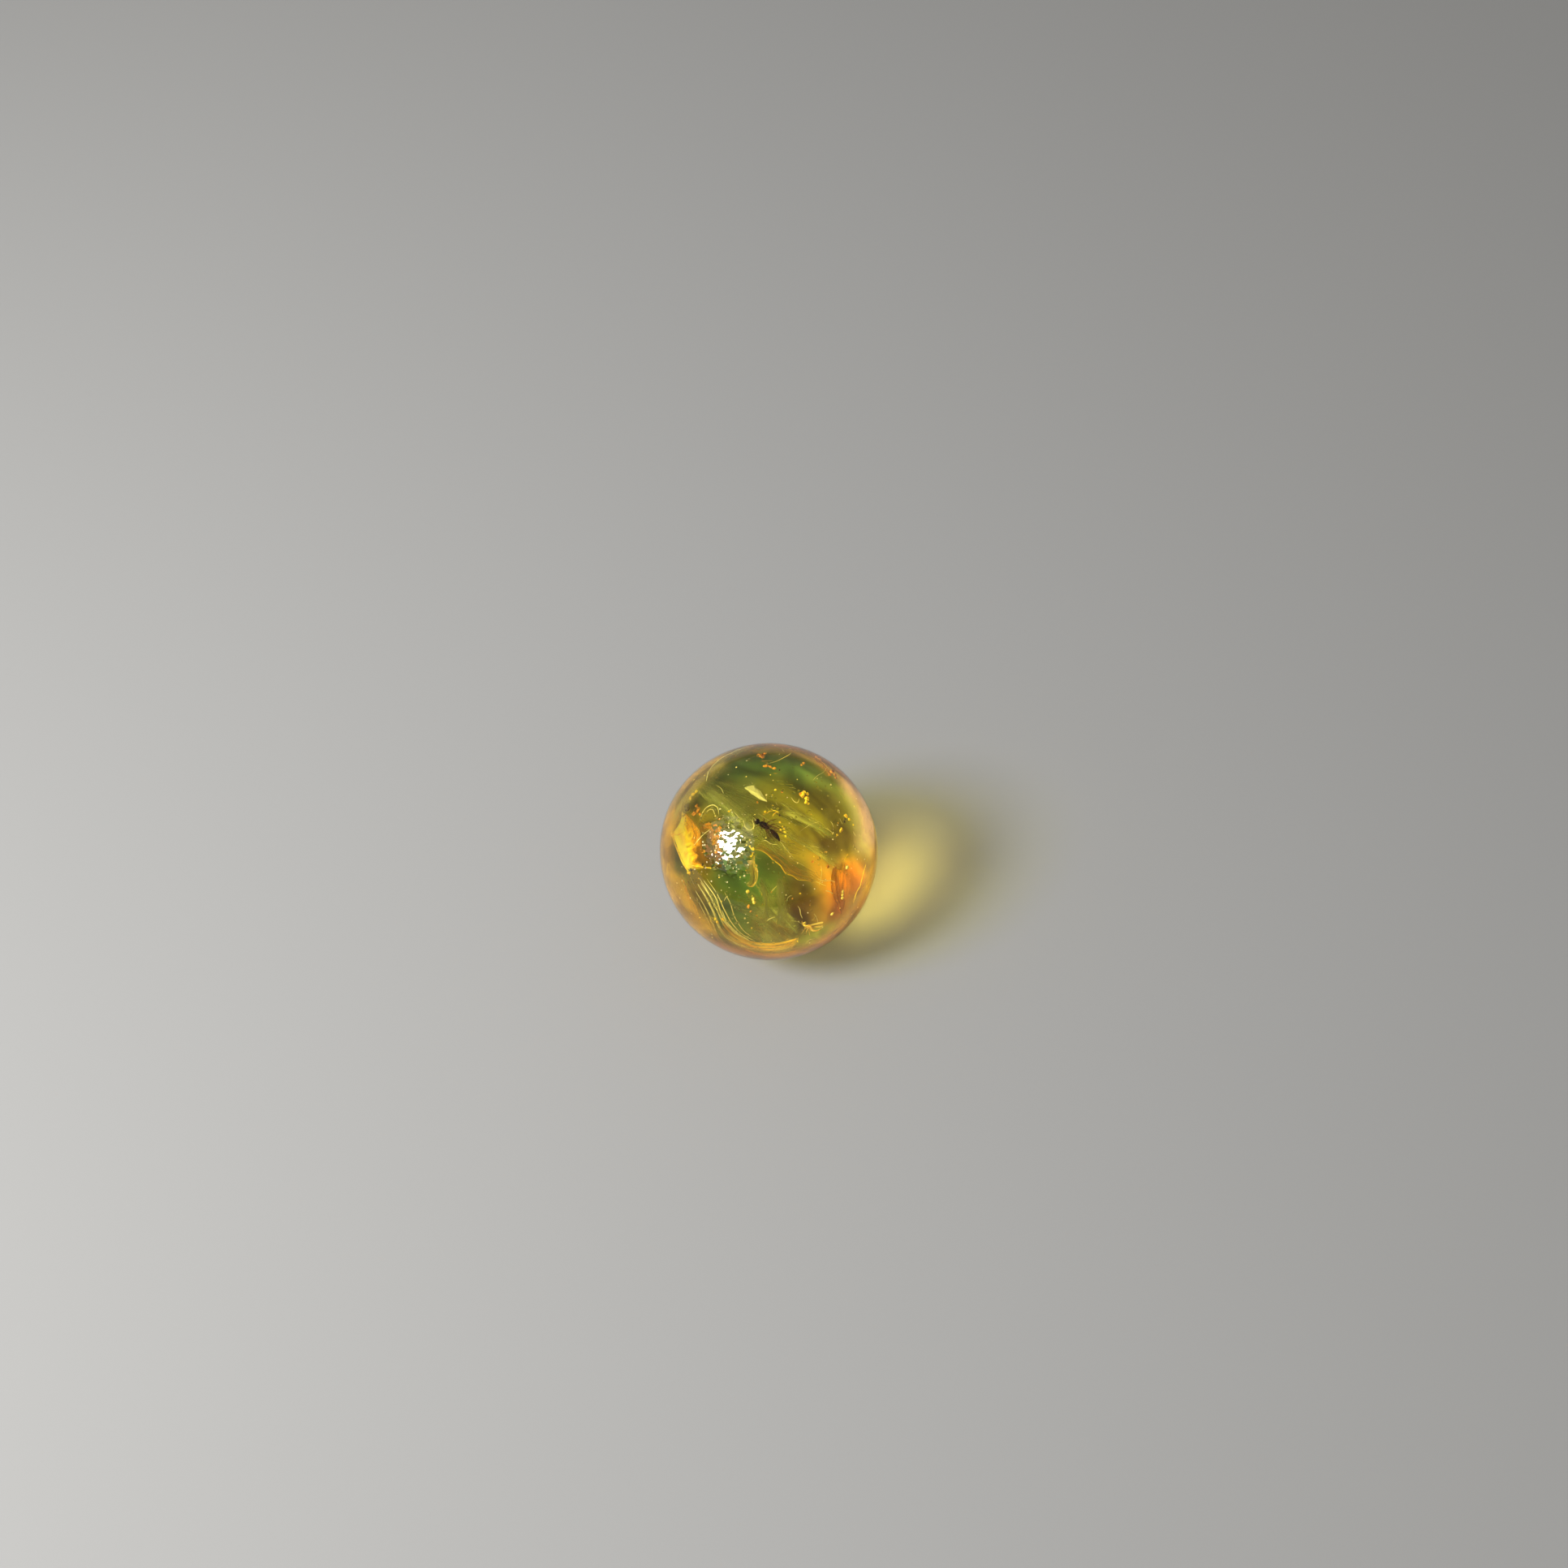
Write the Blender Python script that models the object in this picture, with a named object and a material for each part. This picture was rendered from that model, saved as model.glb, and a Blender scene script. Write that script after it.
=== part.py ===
"""Insect in amber: a hand-polished ball of clear amber with a small dark insect, a golden gnat, a flake
of leaf and a cupped bed of cloudy resin sealed inside it.

The amber formed in one piece. It is parted on one level plane, because the sealed things lie in pockets
across that plane. +X is to the right and +Y to the back of the ball. The origin is the middle of its foot.
"""

import math

import bmesh
import bpy
from mathutils import Vector

MM = 0.001

# The ball
BALL_RADIUS = 9.0 * MM
FOOT_RADIUS = 1.8 * MM
BALL_SEGMENTS = 56
BALL_RINGS = 28
FOOT_DEPTH = BALL_RADIUS - math.sqrt(BALL_RADIUS**2 - FOOT_RADIUS**2)
CENTRE_HEIGHT = BALL_RADIUS - FOOT_DEPTH

# Polishing by hand leaves it slightly out of round: a direction, the share of the radius that stands
# out or lies back there, and how tightly that spot is gathered
UNEVEN_SPOTS = (
    (Vector((-0.87, 0.42, 0.27)), 0.011, 7),
    (Vector((-0.42, -0.76, -0.50)), -0.008, 6),
    (Vector((0.55, 0.75, 0.36)), 0.004, 8),
)

# The plane that parts the amber, and the play that keeps its solids apart
PARTING_DROP = 0.9 * MM
PARTING_HEIGHT = CENTRE_HEIGHT - PARTING_DROP
CLEARANCE = 0.3 * MM

# Where the sealed things lie on the parting plane, from the ball's axis
INSECT_PLACE = (0.0, 1.95 * MM)
INSECT_HEADING = math.radians(137)
GNAT_PLACE = (2.62 * MM, -5.36 * MM)
LEAF_PLACE = (-0.60 * MM, 3.79 * MM)
LEAF_HEADING = math.radians(-34)

# The cupped bed of cloudy resin behind the insects. It opens towards the clear side that shows them.
BED_OPENS_AT = math.radians(56.7)
BED_OPENING = Vector((0.0, -math.cos(BED_OPENS_AT), math.sin(BED_OPENS_AT)))
BED_INSIDE = 0.625 * BALL_RADIUS
BED_OUTSIDE = 0.70 * BALL_RADIUS
BED_REACH = math.radians(62)  # from the bottom of the cup to its rim
BED_RIPPLE = 0.012
BED_SEGMENTS = 28
BED_RINGS = 7

# Number of sides of each kind of rounded shape
BODY_SIDES = 12
LIMB_SIDES = 6
WING_SIDES = 8
WING_STATIONS = 10

# The dark insect's body from tail to head: place along it, half its width, half its height
INSECT_BODY = (
    (-0.87, 0.014, 0.014),
    (-0.80, 0.038, 0.040),
    (-0.68, 0.074, 0.078),
    (-0.52, 0.103, 0.108),
    (-0.36, 0.110, 0.116),
    (-0.22, 0.092, 0.096),
    (-0.12, 0.050, 0.052),
    (-0.07, 0.023, 0.024),
    (-0.03, 0.023, 0.024),
    (0.03, 0.052, 0.056),
    (0.10, 0.090, 0.104),
    (0.22, 0.122, 0.142),
    (0.36, 0.128, 0.152),
    (0.46, 0.108, 0.124),
    (0.53, 0.060, 0.068),
    (0.565, 0.036, 0.040),
    (0.60, 0.082, 0.078),
    (0.66, 0.134, 0.116),
    (0.72, 0.126, 0.108),
    (0.78, 0.072, 0.064),
)
INSECT_BEND = 0.19  # sideways bow of the body, for each square of the length
INSECT_DROOP = 0.10  # how far both ends hang, in the same way

# The gnat lies on its side, so its body is drawn as seen from above: a place and its half thickness
GNAT_BODY = (
    ((-0.48, 0.39), 0.040),
    ((-0.43, 0.35), 0.086),
    ((-0.36, 0.30), 0.092),
    ((-0.30, 0.25), 0.048),
    ((-0.23, 0.20), 0.098),
    ((-0.11, 0.12), 0.148),
    ((0.02, 0.02), 0.140),
    ((0.12, -0.10), 0.094),
    ((0.19, -0.26), 0.088),
    ((0.29, -0.43), 0.086),
    ((0.44, -0.55), 0.080),
    ((0.62, -0.58), 0.070),
    ((0.79, -0.50), 0.054),
    ((0.89, -0.38), 0.034),
    ((0.92, -0.31), 0.016),
)


def clear_scene():
    for obj in list(bpy.data.objects):
        bpy.data.objects.remove(obj)


def make_material(name, colour, roughness, transmission=0.0):
    """A plain Principled material."""
    material = bpy.data.materials.new(name)
    material.use_nodes = True
    shader = material.node_tree.nodes["Principled BSDF"]
    shader.inputs["Base Color"].default_value = (*colour, 1.0)
    shader.inputs["Roughness"].default_value = roughness
    shader.inputs["Metallic"].default_value = 0.0
    shader.inputs["Transmission Weight"].default_value = transmission
    shader.inputs["IOR"].default_value = 1.54
    material.diffuse_color = (*colour, 1.0)
    return material


def make_object(name, mesh_in_progress, material=None):
    """Turns the bmesh into an object of the scene, with its faces turned outwards."""
    bmesh.ops.recalc_face_normals(mesh_in_progress, faces=mesh_in_progress.faces)
    mesh = bpy.data.meshes.new(name)
    mesh_in_progress.to_mesh(mesh)
    mesh_in_progress.free()
    obj = bpy.data.objects.new(name, mesh)
    bpy.context.collection.objects.link(obj)
    if material:
        mesh.materials.append(material)
    return obj


def shade_round(obj, crease_degrees=40):
    obj.data.shade_smooth()
    obj.data.set_sharp_from_angle(angle=math.radians(crease_degrees))


def hide_helper(obj):
    """A helper shapes other pieces and isn't one itself."""
    obj.hide_render = True
    obj.display_type = "WIRE"


def add_boolean(obj, other, operation):
    modifier = obj.modifiers.new(f"{operation.lower()} {other.name}", "BOOLEAN")
    modifier.operation = operation
    modifier.solver = "EXACT"
    modifier.object = other


def place_empty(name, across, along, height, heading=0.0):
    """An empty that carries everything lying at one place in the amber."""
    empty = bpy.data.objects.new(name, None)
    empty.empty_display_size = MM
    empty.location = (across, along, height)
    empty.rotation_euler = (0.0, 0.0, heading)
    bpy.context.collection.objects.link(empty)
    return empty


def radius_towards(direction):
    """The ball's radius in one direction, with the unevenness of the polishing."""
    share = 1.0
    for spot, amount, gathering in UNEVEN_SPOTS:
        share += amount * max(0.0, direction.dot(spot.normalized())) ** gathering
    return BALL_RADIUS * share


def cut_level(ball, height, keep_above):
    """Cuts the ball off level and closes the cut with one flat face."""
    outward = -1.0 if keep_above else 1.0
    geometry = ball.verts[:] + ball.edges[:] + ball.faces[:]
    cut = bmesh.ops.bisect_plane(
        ball,
        geom=geometry,
        plane_co=(0.0, 0.0, height),
        plane_no=(0.0, 0.0, outward),
        clear_outer=True,
    )
    rim = [part for part in cut["geom_cut"] if isinstance(part, bmesh.types.BMEdge)]
    bmesh.ops.contextual_create(ball, geom=rim)


def polished_ball():
    """The whole ball, standing on its foot."""
    ball = bmesh.new()
    bmesh.ops.create_uvsphere(ball, u_segments=BALL_SEGMENTS, v_segments=BALL_RINGS, radius=1.0)
    for vertex in ball.verts:
        direction = vertex.co.normalized()
        vertex.co = direction * radius_towards(direction)
        vertex.co.z += CENTRE_HEIGHT
    cut_level(ball, 0.0, keep_above=True)
    return ball


def make_amber(pockets, material):
    """The amber above and below the parting plane, each with half of every pocket."""
    halves = (
        ("amber_upper", PARTING_HEIGHT + CLEARANCE / 2, True),
        ("amber_lower", PARTING_HEIGHT - CLEARANCE / 2, False),
    )
    for name, height, keep_above in halves:
        ball = polished_ball()
        cut_level(ball, height, keep_above)
        half = make_object(name, ball, material)
        for pocket in pockets:
            add_boolean(half, pocket, "DIFFERENCE")
        shade_round(half)


def loft(stations, sides):
    """A closed rounded shape through (centre, half width, half height) stations, in millimetres.

    Its width lies level and across its path.
    """
    shape = bmesh.new()
    rings = []
    for index, (centre, half_width, half_height) in enumerate(stations):
        before = stations[max(index - 1, 0)][0]
        after = stations[min(index + 1, len(stations) - 1)][0]
        forward = (after - before).normalized()
        across = Vector((0.0, 0.0, 1.0)).cross(forward).normalized()
        up = forward.cross(across)
        ring = []
        for side in range(sides):
            angle = math.tau * (side + 0.5) / sides
            offset = across * (half_width * math.cos(angle)) + up * (half_height * math.sin(angle))
            ring.append(shape.verts.new((centre + offset) * MM))
        rings.append(ring)
    for near, far in zip(rings, rings[1:]):
        for side in range(sides):
            following = (side + 1) % sides
            shape.faces.new((near[side], near[following], far[following], far[side]))
    for ring in (rings[0], rings[-1]):
        shape.faces.new(ring)
    return shape


def smooth_route(points, steps):
    """Points along a Catmull-Rom curve through the given ones."""
    padded = [points[0] * 2 - points[1], *points, points[-1] * 2 - points[-2]]
    route = []
    for index in range(len(points) - 1):
        before, start, end, after = padded[index : index + 4]
        for step in range(steps):
            t = step / steps
            slope = (end - before) * t
            curve = (before * 2 - start * 5 + end * 4 - after) * t**2
            turn = (start * 3 - before - end * 3 + after) * t**3
            route.append((start * 2 + slope + curve + turn) / 2)
    route.append(points[-1].copy())
    return route


def limb(points, thick_end, thin_end, steps=2):
    """A leg or feeler that tapers from its first point to its last."""
    route = smooth_route([Vector(point) for point in points], steps)
    stations = []
    for index, centre in enumerate(route):
        half = thick_end + (thin_end - thick_end) * index / (len(route) - 1)
        stations.append((centre, half, half))
    return loft(stations, LIMB_SIDES)


def wing(root, tip, half_width, half_thickness, arch):
    """A thin flat blade with a narrow root and a rounded tip."""
    root, tip = Vector(root), Vector(tip)
    stations = []
    for step in range(WING_STATIONS):
        t = 0.99 * math.sin(0.5 * math.pi * step / (WING_STATIONS - 1))
        centre = root.lerp(tip, t)
        centre.z += arch * math.sin(math.pi * t)
        breadth = 0.12 + 0.93 * t**0.8 * math.sqrt(1.0 - t**5)
        stations.append((centre, half_width * breadth, half_thickness))
    return loft(stations, WING_SIDES)


def join_limbs(body, shapes, carrier):
    """Joins limbs to the body that they grow from, as one solid."""
    for name, shape in shapes:
        helper = make_object(f"{body.name}_{name}", shape)
        helper.parent = carrier
        hide_helper(helper)
        add_boolean(body, helper, "UNION")


def make_insect(material):
    """The slim dark insect: head, thorax, thin waist and pointed abdomen, with four wings folded back."""
    carrier = place_empty("insect_place", *INSECT_PLACE, PARTING_HEIGHT, INSECT_HEADING)

    def on_body(along, across, up):
        return Vector((along, across + INSECT_BEND * along**2, up - INSECT_DROOP * along**2))

    stations = [(on_body(along, 0.0, 0.0), wide, high) for along, wide, high in INSECT_BODY]
    body = make_object("insect", loft(stations, BODY_SIDES), material)
    body.parent = carrier
    shapes = []
    for side, sprawl in (("left", 0.75), ("right", -1.15)):
        legs = {
            "front": ((0.42, 0.05, -0.08), (0.50, 0.22, -0.03), (0.60, 0.34, -0.13), (0.73, 0.42, -0.20)),
            "mid": ((0.28, 0.05, -0.09), (0.27, 0.28, -0.02), (0.21, 0.46, -0.13), (0.17, 0.62, -0.21)),
            "hind": ((0.14, 0.04, -0.06), (0.02, 0.26, 0.00), (-0.17, 0.39, -0.12), (-0.38, 0.46, -0.20)),
        }
        for name, points in legs.items():
            spread = [on_body(along, across * sprawl, up) for along, across, up in points]
            shapes.append((f"{side}_{name}_leg", limb(spread, 0.030, 0.011)))
        lean = math.copysign(1.0, sprawl)
        feeler = ((0.72, 0.05, 0.02), (0.84, 0.12, 0.09), (0.98, 0.19, 0.07), (1.12, 0.24, 0.00))
        spread = [on_body(along, across * lean, up) for along, across, up in feeler]
        shapes.append((f"{side}_feeler", limb(spread, 0.019, 0.013)))
        fore_root = on_body(0.30, 0.05 * lean, 0.115)
        fore_tip = (-0.80, 0.27 * lean + 0.08, 0.13)
        shapes.append((f"{side}_fore_wing", wing(fore_root, fore_tip, 0.155, 0.013, 0.04)))
        hind_root = on_body(0.16, 0.05 * lean, 0.075)
        hind_tip = (-0.50, 0.34 * lean + 0.05, 0.07)
        shapes.append((f"{side}_hind_wing", wing(hind_root, hind_tip, 0.085, 0.012, 0.02)))
    join_limbs(body, shapes, carrier)
    shade_round(body)
    return carrier


def make_gnat(material):
    """The golden gnat on its side, its abdomen curled under and its legs drawn out towards the front."""
    carrier = place_empty("gnat_place", *GNAT_PLACE, PARTING_HEIGHT)
    stations = [(Vector((*place, 0.0)), half, half) for place, half in GNAT_BODY]
    body = make_object("gnat", loft(stations, BODY_SIDES), material)
    body.parent = carrier
    shapes = []
    for side, lean in (("lower", -1.0), ("upper", 1.0)):
        legs = {
            "front": ((-0.20, 0.12, 0.06), (-0.36, -0.08, 0.15), (-0.38, -0.32, 0.10), (-0.50, -0.50, 0.16)),
            "mid": ((-0.08, 0.04, 0.07), (-0.17, -0.24, 0.17), (-0.13, -0.48, 0.12), (-0.18, -0.74, 0.15)),
            "hind": ((0.03, -0.02, 0.07), (0.04, -0.34, 0.20), (0.12, -0.58, 0.19), (0.17, -0.84, 0.21)),
        }
        for name, points in legs.items():
            spread = [(x + 0.05 * lean, y, z * lean) for x, y, z in points]
            shapes.append((f"{side}_{name}_leg", limb(spread, 0.027, 0.012)))
        feeler = ((-0.44, 0.38, 0.03), (-0.54, 0.48, 0.08), (-0.60, 0.60, 0.10), (-0.60, 0.73, 0.08))
        spread = [(x, y, z * lean) for x, y, z in feeler]
        shapes.append((f"{side}_feeler", limb(spread, 0.017, 0.012)))
        root = (-0.08, 0.16, 0.07 * lean)
        tip = (0.93, 0.18 + 0.06 * lean, 0.13 * lean)
        shapes.append((f"{side}_wing", wing(root, tip, 0.165, 0.013, 0.03 * lean)))
    join_limbs(body, shapes, carrier)
    shade_round(body)
    return carrier


def make_leaf_flake(material):
    """A pale torn flake of leaf: pointed at both ends, thin and slightly cupped."""
    carrier = place_empty("leaf_place", *LEAF_PLACE, PARTING_HEIGHT, LEAF_HEADING)
    length, half_width, half_thickness, cup = 1.22, 0.185, 0.035, 0.07
    stations = []
    for step in range(11):
        t = step / 10
        breadth = math.sin(math.pi * (0.03 + 0.94 * t) ** 1.15)
        centre = Vector((length * (t - 0.5), 0.05 * math.sin(math.tau * t), cup * math.sin(math.pi * t)))
        stations.append((centre, half_width * breadth, half_thickness * (0.4 + 0.6 * breadth)))
    flake = make_object("leaf_flake", loft(stations, WING_SIDES), material)
    flake.parent = carrier
    shade_round(flake)
    return carrier


def cup(inside, outside, reach):
    """A closed cup about the ball's centre with a gently rippled wall."""
    centre = Vector((0.0, 0.0, CENTRE_HEIGHT))
    right = Vector((1.0, 0.0, 0.0))
    upward = BED_OPENING.cross(right)

    def place(radius, angle, around):
        ripple = 1.0 + BED_RIPPLE * math.sin(3 * around) * math.sin(2 * angle)
        outward = right * math.cos(around) + upward * math.sin(around)
        return centre + (outward * math.sin(angle) - BED_OPENING * math.cos(angle)) * radius * ripple

    shape = bmesh.new()
    walls = []
    for radius in (outside, inside):
        bottom = shape.verts.new(place(radius, 0.0, 0.0))
        rings = []
        for ring in range(1, BED_RINGS + 1):
            angle = reach * ring / BED_RINGS
            turns = [math.tau * step / BED_SEGMENTS for step in range(BED_SEGMENTS)]
            rings.append([shape.verts.new(place(radius, angle, around)) for around in turns])
        for step in range(BED_SEGMENTS):
            following = (step + 1) % BED_SEGMENTS
            shape.faces.new((bottom, rings[0][step], rings[0][following]))
            for near, far in zip(rings, rings[1:]):
                shape.faces.new((near[step], far[step], far[following], near[following]))
        walls.append(rings)
    for step in range(BED_SEGMENTS):
        following = (step + 1) % BED_SEGMENTS
        outer, inner = walls[0][-1], walls[1][-1]
        shape.faces.new((outer[step], inner[step], inner[following], outer[following]))
    return shape


def make_flow_bed(material):
    """The cloudy resin that an earlier flow left, and the room round it in the amber."""
    bed = make_object("flow_bed", cup(BED_INSIDE, BED_OUTSIDE, BED_REACH), material)
    shade_round(bed)
    wider_reach = BED_REACH + 1.2 * CLEARANCE / BED_INSIDE
    room = cup(BED_INSIDE - CLEARANCE, BED_OUTSIDE + CLEARANCE, wider_reach)
    pocket = make_object("flow_bed_pocket", room)
    hide_helper(pocket)
    return pocket


def make_pocket(name, carrier, low, high):
    """The room round a sealed thing, from its lowest to its highest corner in millimetres."""
    low = Vector(low) * MM - Vector((CLEARANCE,) * 3)
    high = Vector(high) * MM + Vector((CLEARANCE,) * 3)
    room = bmesh.new()
    bmesh.ops.create_cube(room, size=1.0)
    for vertex in room.verts:
        share = vertex.co + Vector((0.5, 0.5, 0.5))
        vertex.co = Vector(low[axis] + (high[axis] - low[axis]) * share[axis] for axis in range(3))
    pocket = make_object(name, room)
    pocket.parent = carrier
    hide_helper(pocket)
    return pocket


def main():
    clear_scene()
    amber = make_material("amber", (0.86, 0.46, 0.05), 0.05, transmission=1.0)
    dark_shell = make_material("dark insect shell", (0.045, 0.016, 0.010), 0.35)
    golden_shell = make_material("golden insect shell", (0.78, 0.44, 0.05), 0.35)
    dry_leaf = make_material("dry leaf", (0.66, 0.66, 0.26), 0.6)
    cloudy_resin = make_material("cloudy resin", (0.5, 0.42, 0.08), 0.5)
    insect_place = make_insect(dark_shell)
    gnat_place = make_gnat(golden_shell)
    leaf_place = make_leaf_flake(dry_leaf)
    pockets = (
        make_flow_bed(cloudy_resin),
        make_pocket("insect_pocket", insect_place, (-0.90, -0.75, -0.34), (1.16, 0.72, 0.22)),
        make_pocket("gnat_pocket", gnat_place, (-0.66, -0.88, -0.25), (0.97, 0.78, 0.25)),
        make_pocket("leaf_pocket", leaf_place, (-0.62, -0.20, -0.05), (0.62, 0.22, 0.13)),
    )
    make_amber(pockets, amber)


main()
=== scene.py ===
"""Looks of the insect in amber: the clear polished ball, the resin flows sealed in it, its insects and its
leaf flake, on a plain pale floor under soft light. Metres, +Z up, +X right and +Y back as on the solids."""

import math
import random

import bmesh
import bpy
from mathutils import Matrix, Vector, noise


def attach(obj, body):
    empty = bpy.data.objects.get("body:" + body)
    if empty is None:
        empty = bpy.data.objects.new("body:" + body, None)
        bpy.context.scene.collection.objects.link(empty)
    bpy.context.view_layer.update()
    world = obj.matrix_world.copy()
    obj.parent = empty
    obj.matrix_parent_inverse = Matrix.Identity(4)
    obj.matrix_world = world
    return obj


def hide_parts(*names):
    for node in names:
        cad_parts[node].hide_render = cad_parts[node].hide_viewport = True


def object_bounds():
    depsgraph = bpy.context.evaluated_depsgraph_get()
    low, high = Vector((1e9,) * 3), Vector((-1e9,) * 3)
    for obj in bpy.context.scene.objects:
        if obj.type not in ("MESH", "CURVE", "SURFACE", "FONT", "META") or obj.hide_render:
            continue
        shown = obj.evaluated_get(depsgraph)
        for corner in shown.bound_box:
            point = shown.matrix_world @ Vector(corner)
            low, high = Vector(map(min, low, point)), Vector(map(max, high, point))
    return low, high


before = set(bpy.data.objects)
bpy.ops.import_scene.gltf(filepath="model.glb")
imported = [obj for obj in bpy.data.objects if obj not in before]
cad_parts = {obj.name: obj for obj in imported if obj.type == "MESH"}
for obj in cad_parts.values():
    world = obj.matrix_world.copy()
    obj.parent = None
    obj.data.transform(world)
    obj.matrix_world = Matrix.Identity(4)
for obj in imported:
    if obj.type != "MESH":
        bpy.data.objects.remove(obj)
cad_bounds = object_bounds()

MM = 0.001

# The ball, as its solids have it
BALL_RADIUS = 9.0 * MM
BALL_TOP = cad_bounds[1].z
CENTRE = Vector((0.0, 0.0, BALL_TOP - BALL_RADIUS))
UNEVEN_SPOTS = (
    (Vector((-0.87, 0.42, 0.27)), 0.011, 7),
    (Vector((-0.42, -0.76, -0.50)), -0.008, 6),
    (Vector((0.55, 0.75, 0.36)), 0.004, 8),
)
AMBER_IOR = 1.54

# The sealed things lie round this level
SEAL_HEIGHT = CENTRE.z - 0.9 * MM

# The camera looks down on the ball from its front. The photo's own pixels place what it shows.
PHOTO_SIZE = 1932
BALL_SEEN_AT = (947.7, 1049.5)
BALL_SEEN_RADIUS = 134.2
SENSOR = 36.0
LENS = 50.6
LOOK_DOWN = math.radians(56.7)
TOWARDS_CAMERA = Vector((0.0, -math.cos(LOOK_DOWN), math.sin(LOOK_DOWN)))
SEEN_RIGHT = Vector((1.0, 0.0, 0.0))
SEEN_UP = Vector((0.0, math.sin(LOOK_DOWN), math.cos(LOOK_DOWN)))

# The resin ran this way, as the camera sees it
FLOW_ANGLE = math.radians(-32)
FLOW = SEEN_RIGHT * math.cos(FLOW_ANGLE) + SEEN_UP * math.sin(FLOW_ANGLE)
FLOW_ACROSS = TOWARDS_CAMERA.cross(FLOW)

# A pixel past this share of the ball's outline is read as one just inside it
OUTERMOST_SIGHT = 0.99
UP = Vector((0.0, 0.0, 1.0))


def line_of_sight(x, y):
    """Where the camera's line through a photo pixel enters the ball, which way it bends and how far it
    runs inside, all in ball radii from the middle."""
    across = (x - BALL_SEEN_AT[0]) / BALL_SEEN_RADIUS
    up = (BALL_SEEN_AT[1] - y) / BALL_SEEN_RADIUS
    offset = math.hypot(across, up)
    if offset > OUTERMOST_SIGHT:
        inwards = OUTERMOST_SIGHT / offset
        across, up, offset = across * inwards, up * inwards, OUTERMOST_SIGHT
    facing = math.sqrt(1.0 - offset**2)
    bent = math.sqrt(1.0 - (offset / AMBER_IOR) ** 2)
    entry = SEEN_RIGHT * across + SEEN_UP * up + TOWARDS_CAMERA * facing
    direction = entry * (facing / AMBER_IOR - bent) - TOWARDS_CAMERA / AMBER_IOR
    return entry, direction, 2.0 * bent


def seen(x, y, depth):
    """The place inside the ball seen at a photo pixel. Depth runs from 0, where the line of sight enters
    the amber, to 1, where it leaves."""
    entry, direction, length = line_of_sight(x, y)
    return CENTRE + (entry + direction * length * depth) * BALL_RADIUS


def seen_route(first_depth, last_depth, *pixels):
    """The places seen along a row of photo pixels, given as x and y in turn, from one depth to another."""
    spots = list(zip(pixels[::2], pixels[1::2]))
    step = (last_depth - first_depth) / (len(spots) - 1)
    return [seen(x, y, first_depth + step * index) for index, (x, y) in enumerate(spots)]


def seen_on_level(x, y, height):
    """The place at one height inside the ball that is seen at a photo pixel."""
    entry, direction, _ = line_of_sight(x, y)
    start = CENTRE + entry * BALL_RADIUS
    return start + direction * ((height - start.z) / direction.z)


def seen_on_layer(x, y, share):
    """The far place seen at a photo pixel on the round layer with a share of the ball's radius."""
    entry, direction, length = line_of_sight(x, y)
    nearest = entry + direction * (length / 2)
    beyond = math.sqrt(max(share**2 - nearest.length_squared, 0.0))
    return CENTRE + (nearest + direction * beyond) * BALL_RADIUS


# Meshes


def new_object(name, mesh, material=None):
    obj = bpy.data.objects.new(name, mesh)
    bpy.context.scene.collection.objects.link(obj)
    if material:
        mesh.materials.clear()
        mesh.materials.append(material)
    return obj


def finish_piece(obj, slot, *replaced):
    """Puts a finished piece on the part's root and hides the solids that it replaces. The slot that it is
    given is not used.
    """
    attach(obj, "root")
    if replaced:
        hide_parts(*replaced)


def finish_mesh(name, work, sharp_degrees, material, slot, *replaced):
    """Turns the faces of a mesh outwards, smooths it up to an angle and puts it on the part as a piece."""
    bmesh.ops.recalc_face_normals(work, faces=work.faces)
    mesh = bpy.data.meshes.new(name)
    work.to_mesh(mesh)
    work.free()
    mesh.shade_smooth()
    mesh.set_sharp_from_angle(angle=math.radians(sharp_degrees))
    finish_piece(new_object(name, mesh, material), slot, *replaced)


def smooth_route(points, steps):
    """Points along a Catmull-Rom curve through the given ones."""
    padded = [points[0] * 2 - points[1], *points, points[-1] * 2 - points[-2]]
    route = []
    for index in range(len(points) - 1):
        before, start, end, after = padded[index : index + 4]
        for step in range(steps):
            t = step / steps
            slope = (end - before) * t
            curve = (before * 2 - start * 5 + end * 4 - after) * t**2
            turn = (start * 3 - before - end * 3 + after) * t**3
            route.append((start * 2 + slope + curve + turn) / 2)
    route.append(points[-1].copy())
    return route


def even_route(points, count):
    """A smooth route through the points with its places evenly spaced."""
    fine = smooth_route(points, 24)
    lengths = [0.0]
    for before, after in zip(fine, fine[1:]):
        lengths.append(lengths[-1] + (after - before).length)
    route = []
    place = 0
    for step in range(count):
        wanted = lengths[-1] * step / (count - 1)
        while place < len(fine) - 2 and lengths[place + 1] < wanted:
            place += 1
        span = max(lengths[place + 1] - lengths[place], 1e-12)
        route.append(fine[place].lerp(fine[place + 1], min((wanted - lengths[place]) / span, 1.0)))
    return route


def loft(work, stations, sides):
    """Adds a closed round shape through (centre, half width, half height) stations to a mesh."""
    rings = []
    for index, (centre, half_width, half_height) in enumerate(stations):
        before = stations[max(index - 1, 0)][0]
        after = stations[min(index + 1, len(stations) - 1)][0]
        forward = (after - before).normalized()
        across = UP.cross(forward).normalized()
        up = forward.cross(across)
        ring = []
        for side in range(sides):
            angle = math.tau * (side + 0.5) / sides
            offset = across * (half_width * math.cos(angle)) + up * (half_height * math.sin(angle))
            ring.append(work.verts.new(centre + offset))
        rings.append(ring)
    for near, far in zip(rings, rings[1:]):
        for side in range(sides):
            following = (side + 1) % sides
            work.faces.new((near[side], near[following], far[following], far[side]))
    work.faces.new(rings[0][::-1])
    work.faces.new(rings[-1])


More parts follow.
